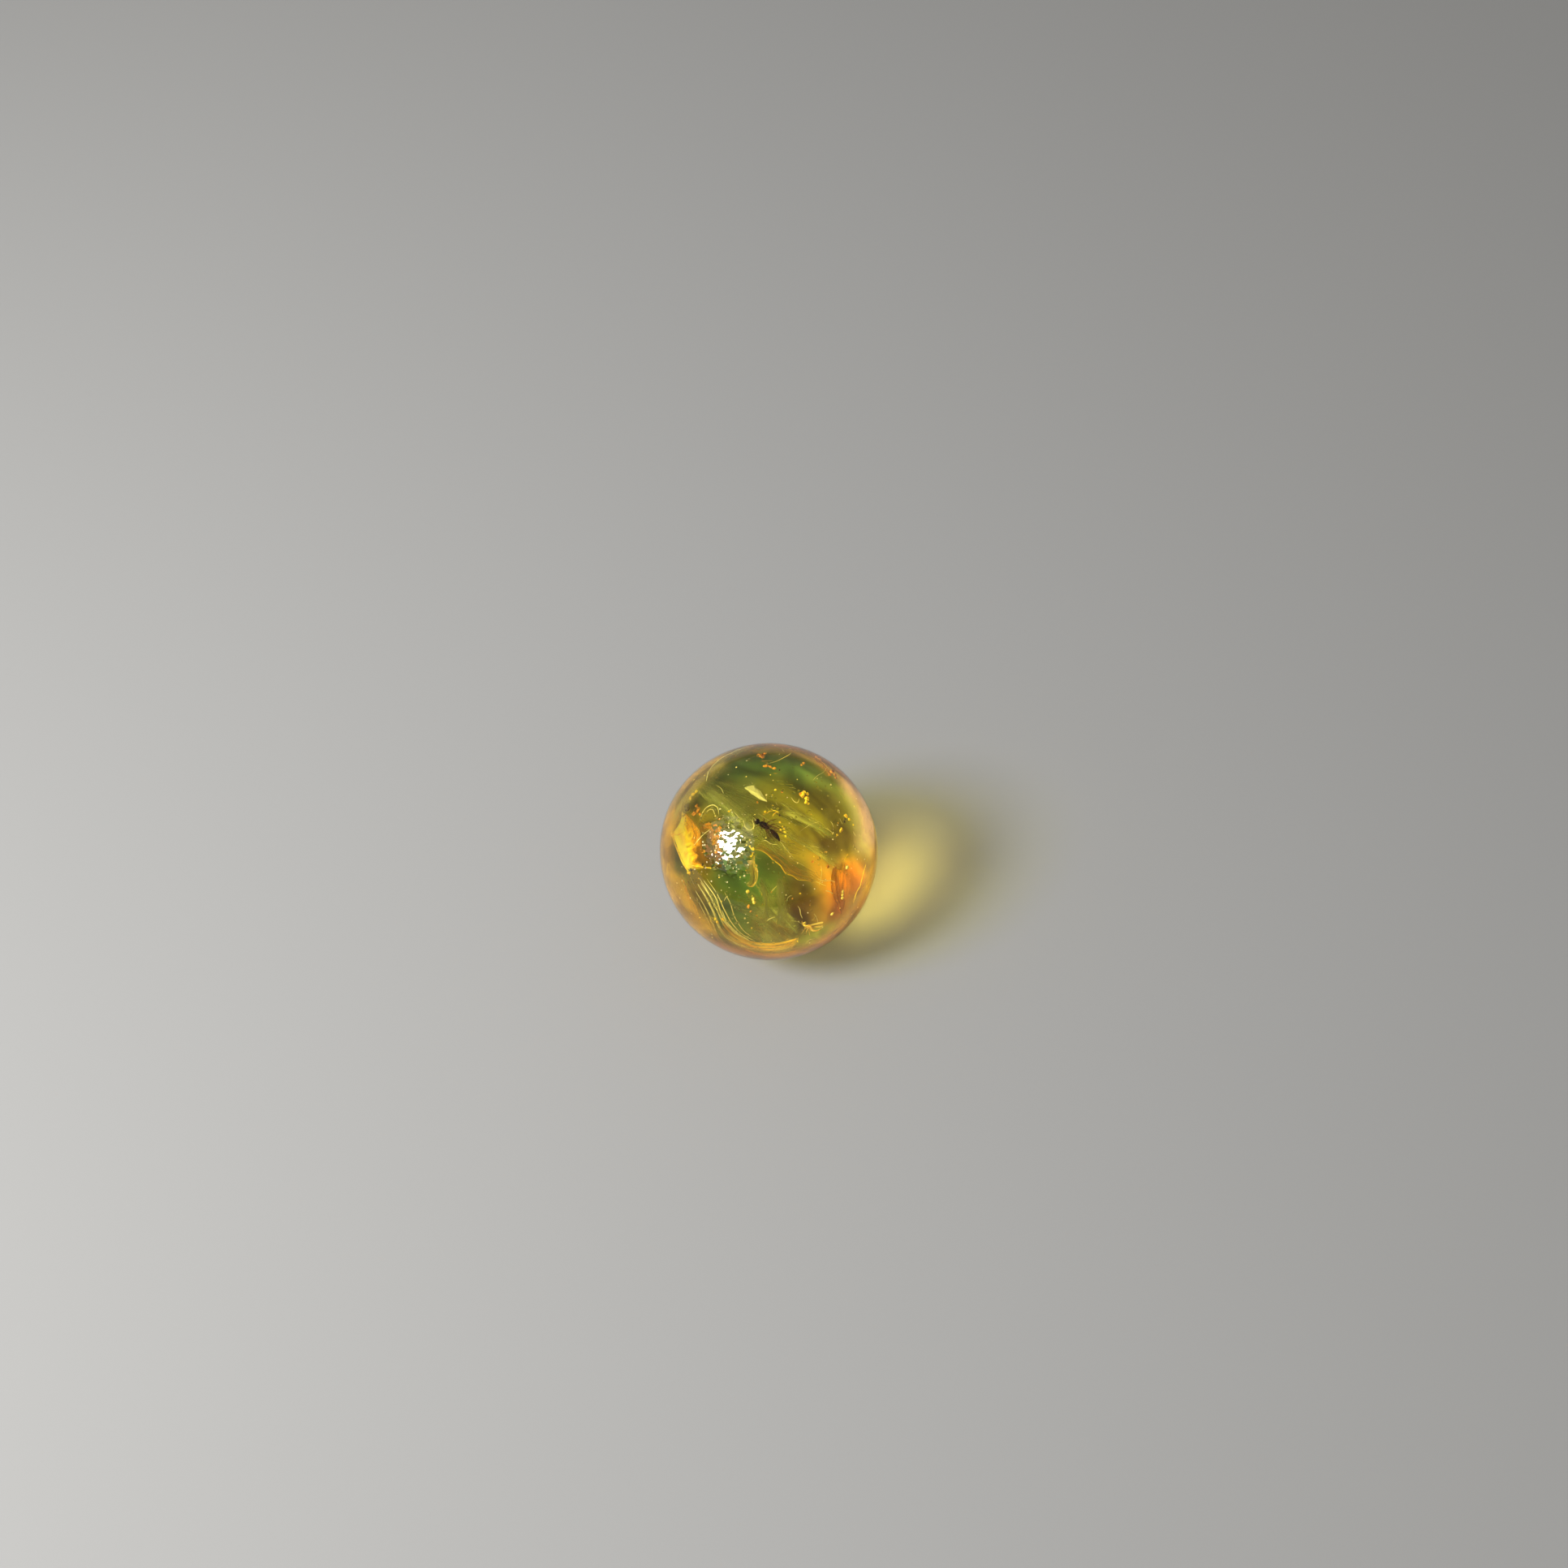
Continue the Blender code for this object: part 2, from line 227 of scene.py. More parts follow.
def add_lump(work, centre, radii, subdivisions=3):
    """Adds an egg-shaped lump to a mesh."""
    matrix = Matrix.Translation(centre) @ Matrix.Diagonal((*radii, 1.0))
    bmesh.ops.create_icosphere(work, subdivisions=subdivisions, radius=1.0, matrix=matrix)


def add_sheet(work, lines, half_thickness, outward, layer=None):
    """Adds a thin closed sheet over rows of places to a mesh. A UV layer keeps how far along and how far
    across each place is."""
    columns, rows = len(lines), len(lines[0])
    sides = []
    for offset in (half_thickness, -half_thickness):
        sides.append([[work.verts.new(place + outward * offset) for place in line] for line in lines])

    def cover(corners):
        face = work.faces.new([sides[side][column][row] for side, column, row in corners])
        if layer is not None:
            for loop, (_, column, row) in zip(face.loops, corners):
                loop[layer].uv = (column / (columns - 1), row / (rows - 1))

    for column in range(columns - 1):
        for row in range(rows - 1):
            quad = ((column, row), (column + 1, row), (column + 1, row + 1), (column, row + 1))
            cover([(0, *corner) for corner in quad])
            cover([(1, *corner) for corner in reversed(quad)])
    rim = [(column, 0) for column in range(columns)]
    rim += [(columns - 1, row) for row in range(1, rows)]
    rim += [(column, rows - 1) for column in range(columns - 2, -1, -1)]
    rim += [(0, row) for row in range(rows - 2, 0, -1)]
    for start, end in zip(rim, [*rim[1:], rim[0]]):
        cover([(0, *start), (1, *start), (1, *end), (0, *end)])


def sized_mesh(name, label, lines):
    """A mesh of loose lines of (place, size) pairs. Each place keeps its size under the label."""
    edges = []
    count = 0
    for line in lines:
        edges += [(index, index + 1) for index in range(count, count + len(line) - 1)]
        count += len(line)
    mesh = bpy.data.meshes.new(name)
    mesh.from_pydata([place for line in lines for place, _ in line], edges, [])
    sizes = [size for line in lines for _, size in line]
    mesh.attributes.new(label, "FLOAT", "POINT").data.foreach_set("value", sizes)
    return mesh


# Nodes of both kinds of trees


def connect(tree, value, target):
    """Sets an input to a number or a vector, or links it to a socket."""
    if isinstance(value, bpy.types.NodeSocket):
        tree.links.new(value, target)
    else:
        target.default_value = value


def feed(tree, node, inputs):
    """Sets or links a node's inputs by their names or numbers."""
    for name, value in inputs.items():
        connect(tree, value, node.inputs[name])


def add(tree, kind, inputs=None, **settings):
    """Adds a node with its settings and its inputs."""
    node = tree.nodes.new(kind)
    for name, value in settings.items():
        setattr(node, name, value)
    feed(tree, node, inputs or {})
    return node


def result(tree, kind, inputs=None, **settings):
    """The first output of a new node."""
    return add(tree, kind, inputs, **settings).outputs[0]


def sums(tree, operation, *terms):
    """The result of one sum of sockets or numbers."""
    return result(tree, "ShaderNodeMath", dict(enumerate(terms)), operation=operation)


def product(tree, first, *others):
    for other in others:
        first = sums(tree, "MULTIPLY", first, other)
    return first


def arrows(tree, operation, *vectors, scale=None):
    """The result of one vector sum."""
    inputs = dict(enumerate(vectors))
    if scale is not None:
        inputs["Scale"] = scale
    node = add(tree, "ShaderNodeVectorMath", inputs, operation=operation)
    return node.outputs["Value" if operation in ("DOT_PRODUCT", "DISTANCE") else 0]


def cloud(tree, place, scale, detail, distortion=0.0):
    """Soft noise about a middle of 0.5."""
    inputs = {"Vector": place, "Scale": scale, "Detail": detail, "Distortion": distortion}
    return result(tree, "ShaderNodeTexNoise", inputs)


def cells(tree, place, scale, **settings):
    """The outputs of a pattern of cells."""
    return add(tree, "ShaderNodeTexVoronoi", {"Vector": place, "Scale": scale}, **settings).outputs


def turned(tree, place, rotation, scale):
    return result(tree, "ShaderNodeMapping", {"Vector": place, "Rotation": rotation, "Scale": scale})


# Geometry Nodes


def geometry_tree(name, *inputs):
    """A tree with a mesh in, a mesh out and named inputs of (name, kind of socket, value)."""
    tree = bpy.data.node_groups.new(name, "GeometryNodeTree")
    tree.interface.new_socket("Geometry", in_out="INPUT", socket_type="NodeSocketGeometry")
    add_inputs(tree, inputs)
    tree.interface.new_socket("Geometry", in_out="OUTPUT", socket_type="NodeSocketGeometry")
    given = tree.nodes.new("NodeGroupInput").outputs
    made = tree.nodes.new("NodeGroupOutput").inputs[0]
    return tree, given, made


def add_inputs(tree, inputs):
    for label, kind, value in inputs:
        socket = tree.interface.new_socket(label, in_out="INPUT", socket_type=kind)
        if value is not None:
            socket.default_value = value


def end_tree(tree, source, material, made):
    realized = result(tree, "GeometryNodeRealizeInstances", {0: source})
    painted = result(tree, "GeometryNodeSetMaterial", {0: realized, "Material": material})
    tree.links.new(painted, made)


def stored(tree, name):
    """A number that the mesh keeps at each of its points."""
    return result(tree, "GeometryNodeInputNamedAttribute", {"Name": name})


def grow(name, base, tree, values):
    """Runs a geometry tree on a mesh and returns the plain mesh that it makes."""
    seedling = new_object(name, base)
    modifier = seedling.modifiers.new("shape", "NODES")
    modifier.node_group = tree
    for socket in tree.interface.items_tree:
        if socket.in_out == "INPUT" and socket.name in values:
            modifier[socket.identifier] = values[socket.name]
    seedling.update_tag()
    bpy.context.view_layer.update()
    evaluated = seedling.evaluated_get(bpy.context.evaluated_depsgraph_get())
    mesh = bpy.data.meshes.new_from_object(evaluated)
    mesh.name = name
    seedling.modifiers.clear()
    bpy.data.objects.remove(seedling)
    return mesh


def strand_tree():
    """Round strands along the mesh's lines, as thick as the thickness of each of its points."""
    tree, given, made = geometry_tree(
        "strands",
        ("Sides", "NodeSocketInt", 6),
        ("Unevenness", "NodeSocketFloat", 0.25),
        ("Seed", "NodeSocketFloat", 1.0),
        ("Material", "NodeSocketMaterial", None),
    )
    place = result(tree, "GeometryNodeInputPosition")
    bumps = {"Vector": place, "W": given["Seed"], "Scale": 4000.0}
    swing = sums(tree, "SUBTRACT", result(tree, "ShaderNodeTexNoise", bumps, noise_dimensions="4D"), 0.5)
    share = sums(tree, "MULTIPLY_ADD", swing, given["Unevenness"], 1.0)
    radius = product(tree, share, stored(tree, "thickness"))
    lines = result(tree, "GeometryNodeMeshToCurve", {0: given["Geometry"]})
    curves = result(tree, "GeometryNodeSetCurveRadius", {0: lines, "Radius": radius})
    profile = result(tree, "GeometryNodeCurvePrimitiveCircle", {"Resolution": given["Sides"], "Radius": 1.0})
    swept = add(tree, "GeometryNodeCurveToMesh", {0: curves, "Profile Curve": profile, "Fill Caps": True})
    if "Scale" in swept.inputs:
        feed(tree, swept, {"Scale": result(tree, "GeometryNodeInputRadius")})
    end_tree(tree, swept.outputs[0], given["Material"], made)
    return tree


def grain_tree():
    """A lumpy grain at every point of the mesh, as large as the size of that point."""
    tree, given, made = geometry_tree(
        "grains",
        ("Lumpiness", "NodeSocketFloat", 0.5),
        ("Stretch", "NodeSocketFloat", 0.3),
        ("Detail", "NodeSocketInt", 2),
        ("Seed", "NodeSocketInt", 1),
        ("Material", "NodeSocketMaterial", None),
    )
    least = sums(tree, "SUBTRACT", 1.0, given["Stretch"])
    most = sums(tree, "ADD", 1.0, given["Stretch"])
    full_turn = (math.tau, math.tau, math.tau)
    shapes = {0: least, 1: most, "Seed": given["Seed"]}
    turns = {1: full_turn, "Seed": given["Seed"]}
    shape = result(tree, "FunctionNodeRandomValue", shapes, data_type="FLOAT_VECTOR")
    turn = result(tree, "FunctionNodeRandomValue", turns, data_type="FLOAT_VECTOR")
    grain = result(tree, "GeometryNodeMeshIcoSphere", {"Radius": 1.0, "Subdivisions": given["Detail"]})
    scale = arrows(tree, "SCALE", shape, scale=stored(tree, "size"))
    placed = {0: given["Geometry"], "Instance": grain, "Scale": scale, "Rotation": turn}
    grains = result(tree, "GeometryNodeInstanceOnPoints", placed)
    lumps = result(tree, "GeometryNodeRealizeInstances", {0: grains})
    size = stored(tree, "size")
    relief = cloud(tree, result(tree, "GeometryNodeInputPosition"), sums(tree, "DIVIDE", 0.9, size), 2.0)
    height = product(tree, sums(tree, "SUBTRACT", relief, 0.5), given["Lumpiness"], size)
    push = arrows(tree, "SCALE", result(tree, "GeometryNodeInputNormal"), scale=height)
    shaped = result(tree, "GeometryNodeSetPosition", {0: lumps, "Offset": push})
    smooth = result(tree, "GeometryNodeSetShadeSmooth", {0: shaped})
    end_tree(tree, smooth, given["Material"], made)
    return tree


def cup_tree():
    """A closed cup of resin about the ball's middle, made from a round net: its far half becomes the
    outer wall and its near half is folded back as the inner wall."""
    tree, given, made = geometry_tree(
        "resin cup",
        ("Outside", "NodeSocketFloat", 0.0062),
        ("Inside", "NodeSocketFloat", 0.0057),
        ("Reach", "NodeSocketFloat", 1.0),
        ("Ripple", "NodeSocketFloat", 0.02),
        ("Ripples", "NodeSocketFloat", 2.0),
        ("Seed", "NodeSocketFloat", 1.0),
        ("Material", "NodeSocketMaterial", None),
    )
    net = result(tree, "GeometryNodeMeshIcoSphere", {"Radius": 1.0, "Subdivisions": 6})
    place = result(tree, "GeometryNodeInputPosition")
    far = arrows(tree, "DOT_PRODUCT", place, -TOWARDS_CAMERA)
    sideways = arrows(tree, "SUBTRACT", place, arrows(tree, "PROJECT", place, TOWARDS_CAMERA))
    folded = sums(tree, "PINGPONG", sums(tree, "ARCCOSINE", far), math.pi / 2)
    angle = product(tree, sums(tree, "DIVIDE", folded, math.pi / 2), given["Reach"])
    thickness = sums(tree, "SUBTRACT", given["Outside"], given["Inside"])
    wall = sums(tree, "MULTIPLY_ADD", sums(tree, "GREATER_THAN", far, 0.0), thickness, given["Inside"])
    deep = arrows(tree, "SCALE", -TOWARDS_CAMERA, scale=sums(tree, "COSINE", angle))
    wide = arrows(tree, "SCALE", arrows(tree, "NORMALIZE", sideways), scale=sums(tree, "SINE", angle))
    direction = arrows(tree, "ADD", deep, wide)
    ripples = {"Vector": direction, "W": given["Seed"], "Scale": given["Ripples"]}
    ripples.update({"Detail": 3.0, "Distortion": 0.5})
    relief = result(tree, "ShaderNodeTexNoise", ripples, noise_dimensions="4D")
    share = sums(tree, "MULTIPLY_ADD", sums(tree, "SUBTRACT", relief, 0.5), given["Ripple"], 1.0)
    reach = arrows(tree, "SCALE", direction, scale=product(tree, share, wall))
    shaped = result(tree, "GeometryNodeSetPosition", {0: net, "Position": arrows(tree, "ADD", reach, CENTRE)})
    end_tree(tree, result(tree, "GeometryNodeSetShadeSmooth", {0: shaped}), given["Material"], made)
    return tree


# Shaders


def principled(name, colour, roughness):
    material = bpy.data.materials.new(name)
    material.use_nodes = True
    tree = material.node_tree
    shader = tree.nodes["Principled BSDF"]
    feed(tree, shader, {"Base Color": (*colour, 1.0), "Roughness": roughness})
    return material, tree, shader


def mapped(tree, value, low, high, new_low=0.0, new_high=1.0):
    """A value led smoothly from one range to another."""
    ranges = {"Value": value, "From Min": low, "From Max": high, "To Min": new_low, "To Max": new_high}
    return result(tree, "ShaderNodeMapRange", ranges, interpolation_type="SMOOTHSTEP")


def mixed(tree, factor, first, second):
    """A mix of two colours, each a socket or three numbers."""
    colours = [(*colour, 1.0) if isinstance(colour, tuple) else colour for colour in (first, second)]
    node = add(tree, "ShaderNodeMix", {0: factor}, data_type="RGBA")
    feed(tree, node, {6: colours[0], 7: colours[1]})
    return node.outputs[2]


def shader_group(name, inputs, outputs):
    """An empty shader node group with named inputs and outputs."""
    tree = bpy.data.node_groups.new(name, "ShaderNodeTree")
    add_inputs(tree, inputs)
    for label, kind in outputs:
        tree.interface.new_socket(label, in_out="OUTPUT", socket_type=kind)
    return tree, tree.nodes.new("NodeGroupInput").outputs, tree.nodes.new("NodeGroupOutput")


def use_group(tree, group, inputs):
    return add(tree, "ShaderNodeGroup", inputs, node_tree=group).outputs


def object_place(tree):
    return tree.nodes.new("ShaderNodeTexCoord").outputs["Object"]


def bump(tree, height, strength, distance):
    inputs = {"Height": height, "Strength": strength, "Distance": distance}
    return result(tree, "ShaderNodeBump", inputs)


def strip_place(tree):
    """How far along and how far across its veil each place is."""
    strip = result(tree, "ShaderNodeUVMap", uv_map="strip")
    parts = add(tree, "ShaderNodeSeparateXYZ", {0: strip}).outputs
    return parts[0], parts[1]


def faded_ends(tree, along, share):
    return product(tree, mapped(tree, along, 0.0, share), mapped(tree, along, 1.0 - share, 1.0, 1.0, 0.0))


def flow_noise_group():
    """Cloudy noise drawn out along the way that the resin ran."""
    tree, given, made = shader_group(
        "flow noise",
        (
            ("Place", "NodeSocketVector", None),
            ("Scale", "NodeSocketFloat", 300.0),
            ("Stretch", "NodeSocketFloat", 0.3),
            ("Swirl", "NodeSocketFloat", 1.0),
        ),
        (("Value", "NodeSocketFloat"),),
    )
    along, across, deep = [
        arrows(tree, "DOT_PRODUCT", given["Place"], way) for way in (FLOW, FLOW_ACROSS, TOWARDS_CAMERA)
    ]
    place = {0: product(tree, along, given["Stretch"]), 1: across, 2: deep}
    clouds = {
        "Vector": result(tree, "ShaderNodeCombineXYZ", place),
        "Scale": given["Scale"],
        "Detail": 2.0,
        "Roughness": 0.55,
        "Distortion": given["Swirl"],
    }
    feed(tree, made, {"Value": result(tree, "ShaderNodeTexNoise", clouds)})
    return tree


# Where the far layers are tinted otherwise: photo pixel, reach in photo pixels, tint and cover. Some spots
# are painted light: the orange glow where the ball focuses the lamp at its lower right, and a brightened tint
# on the dimly lit left.
RESIN_TINT = (0.34, 0.46, 0.13)
RESIN_TINTS_AND_PAINTED_LIGHT = (
    ((955, 956), 95, (0.11, 0.26, 0.17), 0.97),
    ((872, 968), 28, (0.26, 0.32, 0.10), 0.95),
    ((920, 952), 46, (0.10, 0.24, 0.14), 0.97),
    ((902, 988), 34, (0.34, 0.48, 0.36), 0.95),
    ((1022, 985), 42, (0.12, 0.12, 0.01), 0.95),
    # Painted light: brightened where little lamplight reaches
    ((838, 1005), 26, (0.70, 0.66, 0.08), 0.90),
    ((903, 1098), 46, (0.15, 0.40, 0.22), 0.97),
    ((870, 1122), 26, (0.22, 0.42, 0.12), 0.95),
    ((975, 1012), 40, (0.52, 0.60, 0.10), 0.95),
    ((1002, 1048), 30, (0.44, 0.42, 0.07), 0.93),
    ((950, 1075), 18, (0.09, 0.18, 0.08), 0.97),
    ((983, 1103), 28, (0.06, 0.09, 0.03), 0.97),
    ((985, 1135), 34, (0.14, 0.09, 0.01), 0.95),
    # Painted light: the orange glow of lamplight focused by the ball
    ((1061, 1090), 36, (0.72, 0.27, 0.01), 0.90),
    ((1037, 1026), 16, (0.10, 0.08, 0.01), 0.92),
    ((845, 1040), 26, (0.75, 0.42, 0.04), 0.85),
    ((838, 1105), 26, (0.46, 0.38, 0.03), 0.90),
    ((940, 1178), 26, (0.40, 0.17, 0.01), 0.92),
    ((1050, 1138), 24, (0.26, 0.08, 0.01), 0.92),
)
RESIN_LAYER = 0.66
RESIN_COVER = 0.93
INSIDE_PER_PIXEL = BALL_RADIUS / BALL_SEEN_RADIUS / AMBER_IOR


def resin_tint_group():
    """The tint and the cover of the cloudy resin at each place in the ball. Some of it is painted light: some
    spots paint glow and brightening, and an orange edge paints the rim light refracted at the outline.
    """
    tree, given, made = shader_group(
        "resin tint",
        (("Place", "NodeSocketVector", None),),
        (("Color", "NodeSocketColor"), ("Cover", "NodeSocketFloat")),
    )
    swirl = add(tree, "ShaderNodeTexNoise", {"Vector": given["Place"], "Scale": 420.0, "Detail": 1.0})
    shift = arrows(tree, "SUBTRACT", swirl.outputs["Color"], (0.5, 0.5, 0.5))
    place = arrows(tree, "ADD", given["Place"], arrows(tree, "SCALE", shift, scale=2.4 * MM))
    tint, cover = RESIN_TINT, RESIN_COVER
    for pixel, reach, colour, amount in RESIN_TINTS_AND_PAINTED_LIGHT:
        away = arrows(tree, "DISTANCE", place, seen_on_layer(*pixel, RESIN_LAYER))
        inside = reach * INSIDE_PER_PIXEL
        near = mapped(tree, away, inside * 0.25, inside * 1.25, 1.0, 0.0)
        tint = mixed(tree, near, tint, colour)
        cover = result(tree, "ShaderNodeMix", {0: near, 2: cover, 3: amount})
    # Painted light: the tint turns orange towards the cup's far edge, standing in for the rim light that the
    # ball refracts at its outline
    outward = arrows(tree, "SUBTRACT", given["Place"], CENTRE)
    facing = arrows(tree, "DOT_PRODUCT", arrows(tree, "NORMALIZE", outward), TOWARDS_CAMERA)
    painted_rim_glow = product(tree, mapped(tree, facing, -0.77, -0.67), 0.7)
    feed(tree, made, {"Color": mixed(tree, painted_rim_glow, tint, (0.50, 0.24, 0.01)), "Cover": cover})
    return tree


def cloudy_resin(flow_noise, resin_tint):
    """The cloudy bed behind the insects, open towards the clear front, with a ragged rim."""
    material, tree, shader = principled("cloudy resin", RESIN_TINT, 0.5)
    place = object_place(tree)
    tint, cover = use_group(tree, resin_tint, {"Place": place})
    flow = {"Place": place, "Scale": 420.0, "Stretch": 0.35, "Swirl": 1.6}
    clouds = use_group(tree, flow_noise, flow)[0]
    fine = cloud(tree, place, 1100.0, 1.0)
    shaded = arrows(tree, "SCALE", tint, scale=mapped(tree, clouds, 0.34, 0.66, 0.45, 1.45))
    pale = product(tree, mapped(tree, fine, 0.45, 0.75), 0.14)
    facing = arrows(tree, "DOT_PRODUCT", arrows(tree, "SUBTRACT", place, CENTRE), TOWARDS_CAMERA)
    ragged = product(tree, sums(tree, "SUBTRACT", clouds, 0.5), 3.0 * MM)
    far = mapped(tree, sums(tree, "ADD", facing, ragged), -3.9 * MM, -2.9 * MM, 1.0, 0.0)
    patches = mapped(tree, clouds, 0.30, 0.60, 0.88, 1.0)
    feed(tree, shader, {
        "Base Color": mixed(tree, pale, shaded, (0.55, 0.60, 0.30)),
        "Alpha": product(tree, far, product(tree, patches, cover)),
        "Normal": bump(tree, fine, 0.5, 0.25 * MM),
        "Roughness": mapped(tree, fine, 0.3, 0.7, 0.35, 0.6),
    })
    return material


def veil_material(name, bright, soft, cover, flow_noise):
    """A thin veil: bright and dense along its sharp edge, streaked and fading towards its soft border."""
    material, tree, shader = principled(name, bright, 0.35)
    along, across = strip_place(tree)
    place = object_place(tree)
    strip = {0: product(tree, along, 2.2), 1: product(tree, across, 9.0)}
    shift = arrows(tree, "SCALE", place, scale=60.0)
    streaks = cloud(tree, arrows(tree, "ADD", result(tree, "ShaderNodeCombineXYZ", strip), shift), 1.6, 1.0)
    flow = {"Place": place, "Scale": 700.0, "Stretch": 0.4, "Swirl": 1.2}
    clouds = use_group(tree, flow_noise, flow)[0]
    edge = mapped(tree, across, 0.0, 0.22, 1.0, 0.0)
    fade = mapped(tree, across, 0.05, 1.0, 1.0, 0.0)
    patchy_edge = product(tree, edge, mapped(tree, clouds, 0.3, 0.55, 0.35, 1.0))
    streaked = product(tree, fade, mapped(tree, streaks, 0.32, 0.68, 0.15, 1.0))
    dense = sums(tree, "MAXIMUM", patchy_edge, streaked)
    tint = mixed(tree, mapped(tree, clouds, 0.35, 0.65), soft, bright)
    feed(tree, shader, {
        "Base Color": mixed(tree, edge, tint, bright),
        "Alpha": product(tree, dense, faded_ends(tree, along, 0.14), cover),
        "Normal": bump(tree, streaks, 0.5, 0.15 * MM),
        "Roughness": mapped(tree, streaks, 0.3, 0.7, 0.22, 0.5),
    })
    return material


def haze_material(name, bright, soft, cover, outer_fade, inner_fade=0.15):
    """A soft haze close under the surface: dense to its outer border, or fading to both. Besides the pale
    streaks it paints light: the pale reflection band and the rim light along the outline.
    """
    material, tree, shader = principled(name, bright, 0.6)
    along, across = strip_place(tree)
    clouds = cloud(tree, object_place(tree), 500.0, 2.0)
    inner = mapped(tree, across, inner_fade, 1.0, 1.0, 0.0)
    outer = mapped(tree, across, 0.0, outer_fade)
    ends = mapped(tree, sums(tree, "PINGPONG", along, 0.5), 0.0, 0.22)
    patchy = mapped(tree, clouds, 0.25, 0.7, cover * 0.6, cover)
    feed(tree, shader, {
        "Base Color": mixed(tree, mapped(tree, clouds, 0.35, 0.65), soft, bright),
        "Alpha": product(tree, inner, outer, ends, patchy),
        "Roughness": mapped(tree, clouds, 0.3, 0.7, 0.5, 0.7),
    })
    return material


def grain_material(name, bright, dull, roughness, scale=2500.0):
    """A grain's finish: two tints in patches over a fine relief."""
    material, tree, shader = principled(name, bright, roughness)
    patches = cloud(tree, object_place(tree), scale, 4.0, 0.4)
    feed(tree, shader, {
        "Base Color": mixed(tree, mapped(tree, patches, 0.38, 0.62), dull, bright),
        "Normal": bump(tree, patches, 0.6, 0.06 * MM),
        "Roughness": mapped(tree, patches, 0.3, 0.7, roughness * 1.3, roughness * 0.7),
    })
    return material


# The clear ball


def radius_towards(direction):
    share = 1.0
    for spot, amount, gathering in UNEVEN_SPOTS:
        share += amount * max(0.0, direction.dot(spot.normalized())) ** gathering
    return BALL_RADIUS * share


def make_ball(material):
    """The clear ball on its small flat foot."""
    work = bmesh.new()
    bmesh.ops.create_cube(work, size=2.0)
    bmesh.ops.subdivide_edges(work, edges=work.edges[:], cuts=71, use_grid_fill=True)
    for vertex in work.verts:
        direction = Vector(math.tan(axis * math.pi / 4) for axis in vertex.co).normalized()
        vertex.co = CENTRE + direction * radius_towards(direction)
    cut = bmesh.ops.bisect_plane(
        work,
        geom=work.verts[:] + work.edges[:] + work.faces[:],
        plane_co=(0.0, 0.0, 0.0),
        plane_no=(0.0, 0.0, -1.0),
        clear_outer=True,
    )
    rim = [part for part in cut["geom_cut"] if isinstance(part, bmesh.types.BMEdge)]
    bmesh.ops.contextual_create(work, geom=rim)
    finish_mesh("amber_ball", work, 8, material, "amber", "amber_upper", "amber_lower")


# The middle of the scuffed patch, where the photo's highlight breaks up
WORN_PIXEL = (899, 1044)
WORN_PATCH = seen(*WORN_PIXEL, 0.0)


def wear_group():
    """Marks of the hand polish: faint pits and scratches all over, and one scuffed patch, whose small
    facets lean every way."""
    tree, given, made = shader_group(
        "polish wear",
        (("Place", "NodeSocketVector", None),),
        (("Marks", "NodeSocketFloat"), ("Normal", "NodeSocketVector")),
    )
    place = given["Place"]
    pits = mapped(tree, cells(tree, place, 1900.0)["Distance"], 0.10, 0.26, 1.0, 0.0)
    strokes = cells(tree, turned(tree, place, (0.4, 0.9, 0.3), (0.12, 1.0, 1.0)), 3000.0)["Distance"]
    marks = sums(tree, "MAXIMUM", pits, mapped(tree, strokes, 0.10, 0.24, 1.0, 0.0))
    thin = cloud(tree, place, 700.0, 2.0)
    ragged = product(tree, sums(tree, "SUBTRACT", thin, 0.5), 5.0 * MM)
    away = sums(tree, "ADD", ragged, arrows(tree, "DISTANCE", place, WORN_PATCH))
    rougher = mapped(tree, away, 0.7 * MM, 1.6 * MM, 0.13, 0.40)
    patch = product(tree, rougher, mapped(tree, away, 1.5 * MM, 2.4 * MM, 1.0, 0.0))
    facets = cells(tree, turned(tree, place, (0.9, 0.5, 1.2), (0.45, 1.0, 1.0)), 4600.0)["Color"]
    lean = arrows(tree, "SCALE", arrows(tree, "SUBTRACT", facets, (0.5, 0.5, 0.5)), scale=patch)
    smooth = tree.nodes.new("ShaderNodeNewGeometry").outputs["Normal"]
    feed(tree, made, {
        "Marks": product(tree, marks, mapped(tree, thin, 0.50, 0.64)),
        "Normal": arrows(tree, "NORMALIZE", arrows(tree, "ADD", smooth, lean)),
    })
    return tree


def polished_amber():
    """Clear honey amber with a hand polish, whose faint marks break up its highlight. Lamplight passes
    straight through it with a tint."""
    material, tree, shader = principled("polished amber", (1.0, 0.84, 0.40), 0.02)
    marks, normal = use_group(tree, wear_group(), {"Place": object_place(tree)})
    relief = {"Height": marks, "Normal": normal, "Strength": 0.5, "Distance": 0.02 * MM}
    feed(tree, shader, {
        "Transmission Weight": 1.0,
        "IOR": AMBER_IOR,
        "Roughness": mapped(tree, marks, 0.0, 1.0, 0.02, 0.16),
        "Normal": result(tree, "ShaderNodeBump", relief),
    })
    honey = {"Color": (0.985, 0.89, 0.35, 1.0), "Density": 100.0}
    through = result(tree, "ShaderNodeBsdfTransparent", {"Color": (0.88, 0.89, 0.68, 1.0)})
    is_shadow = tree.nodes.new("ShaderNodeLightPath").outputs["Is Shadow Ray"]
    feed(tree, tree.nodes["Material Output"], {
        "Surface": result(tree, "ShaderNodeMixShader", {0: is_shadow, 1: shader.outputs[0], 2: through}),
        "Volume": result(tree, "ShaderNodeVolumeAbsorption", honey),
    })
    return material


# Layers, veils and lines in the resin

CUP_OUTSIDE = 0.695 * BALL_RADIUS
CUP_INSIDE = 0.630 * BALL_RADIUS
CUP_REACH = math.radians(62)


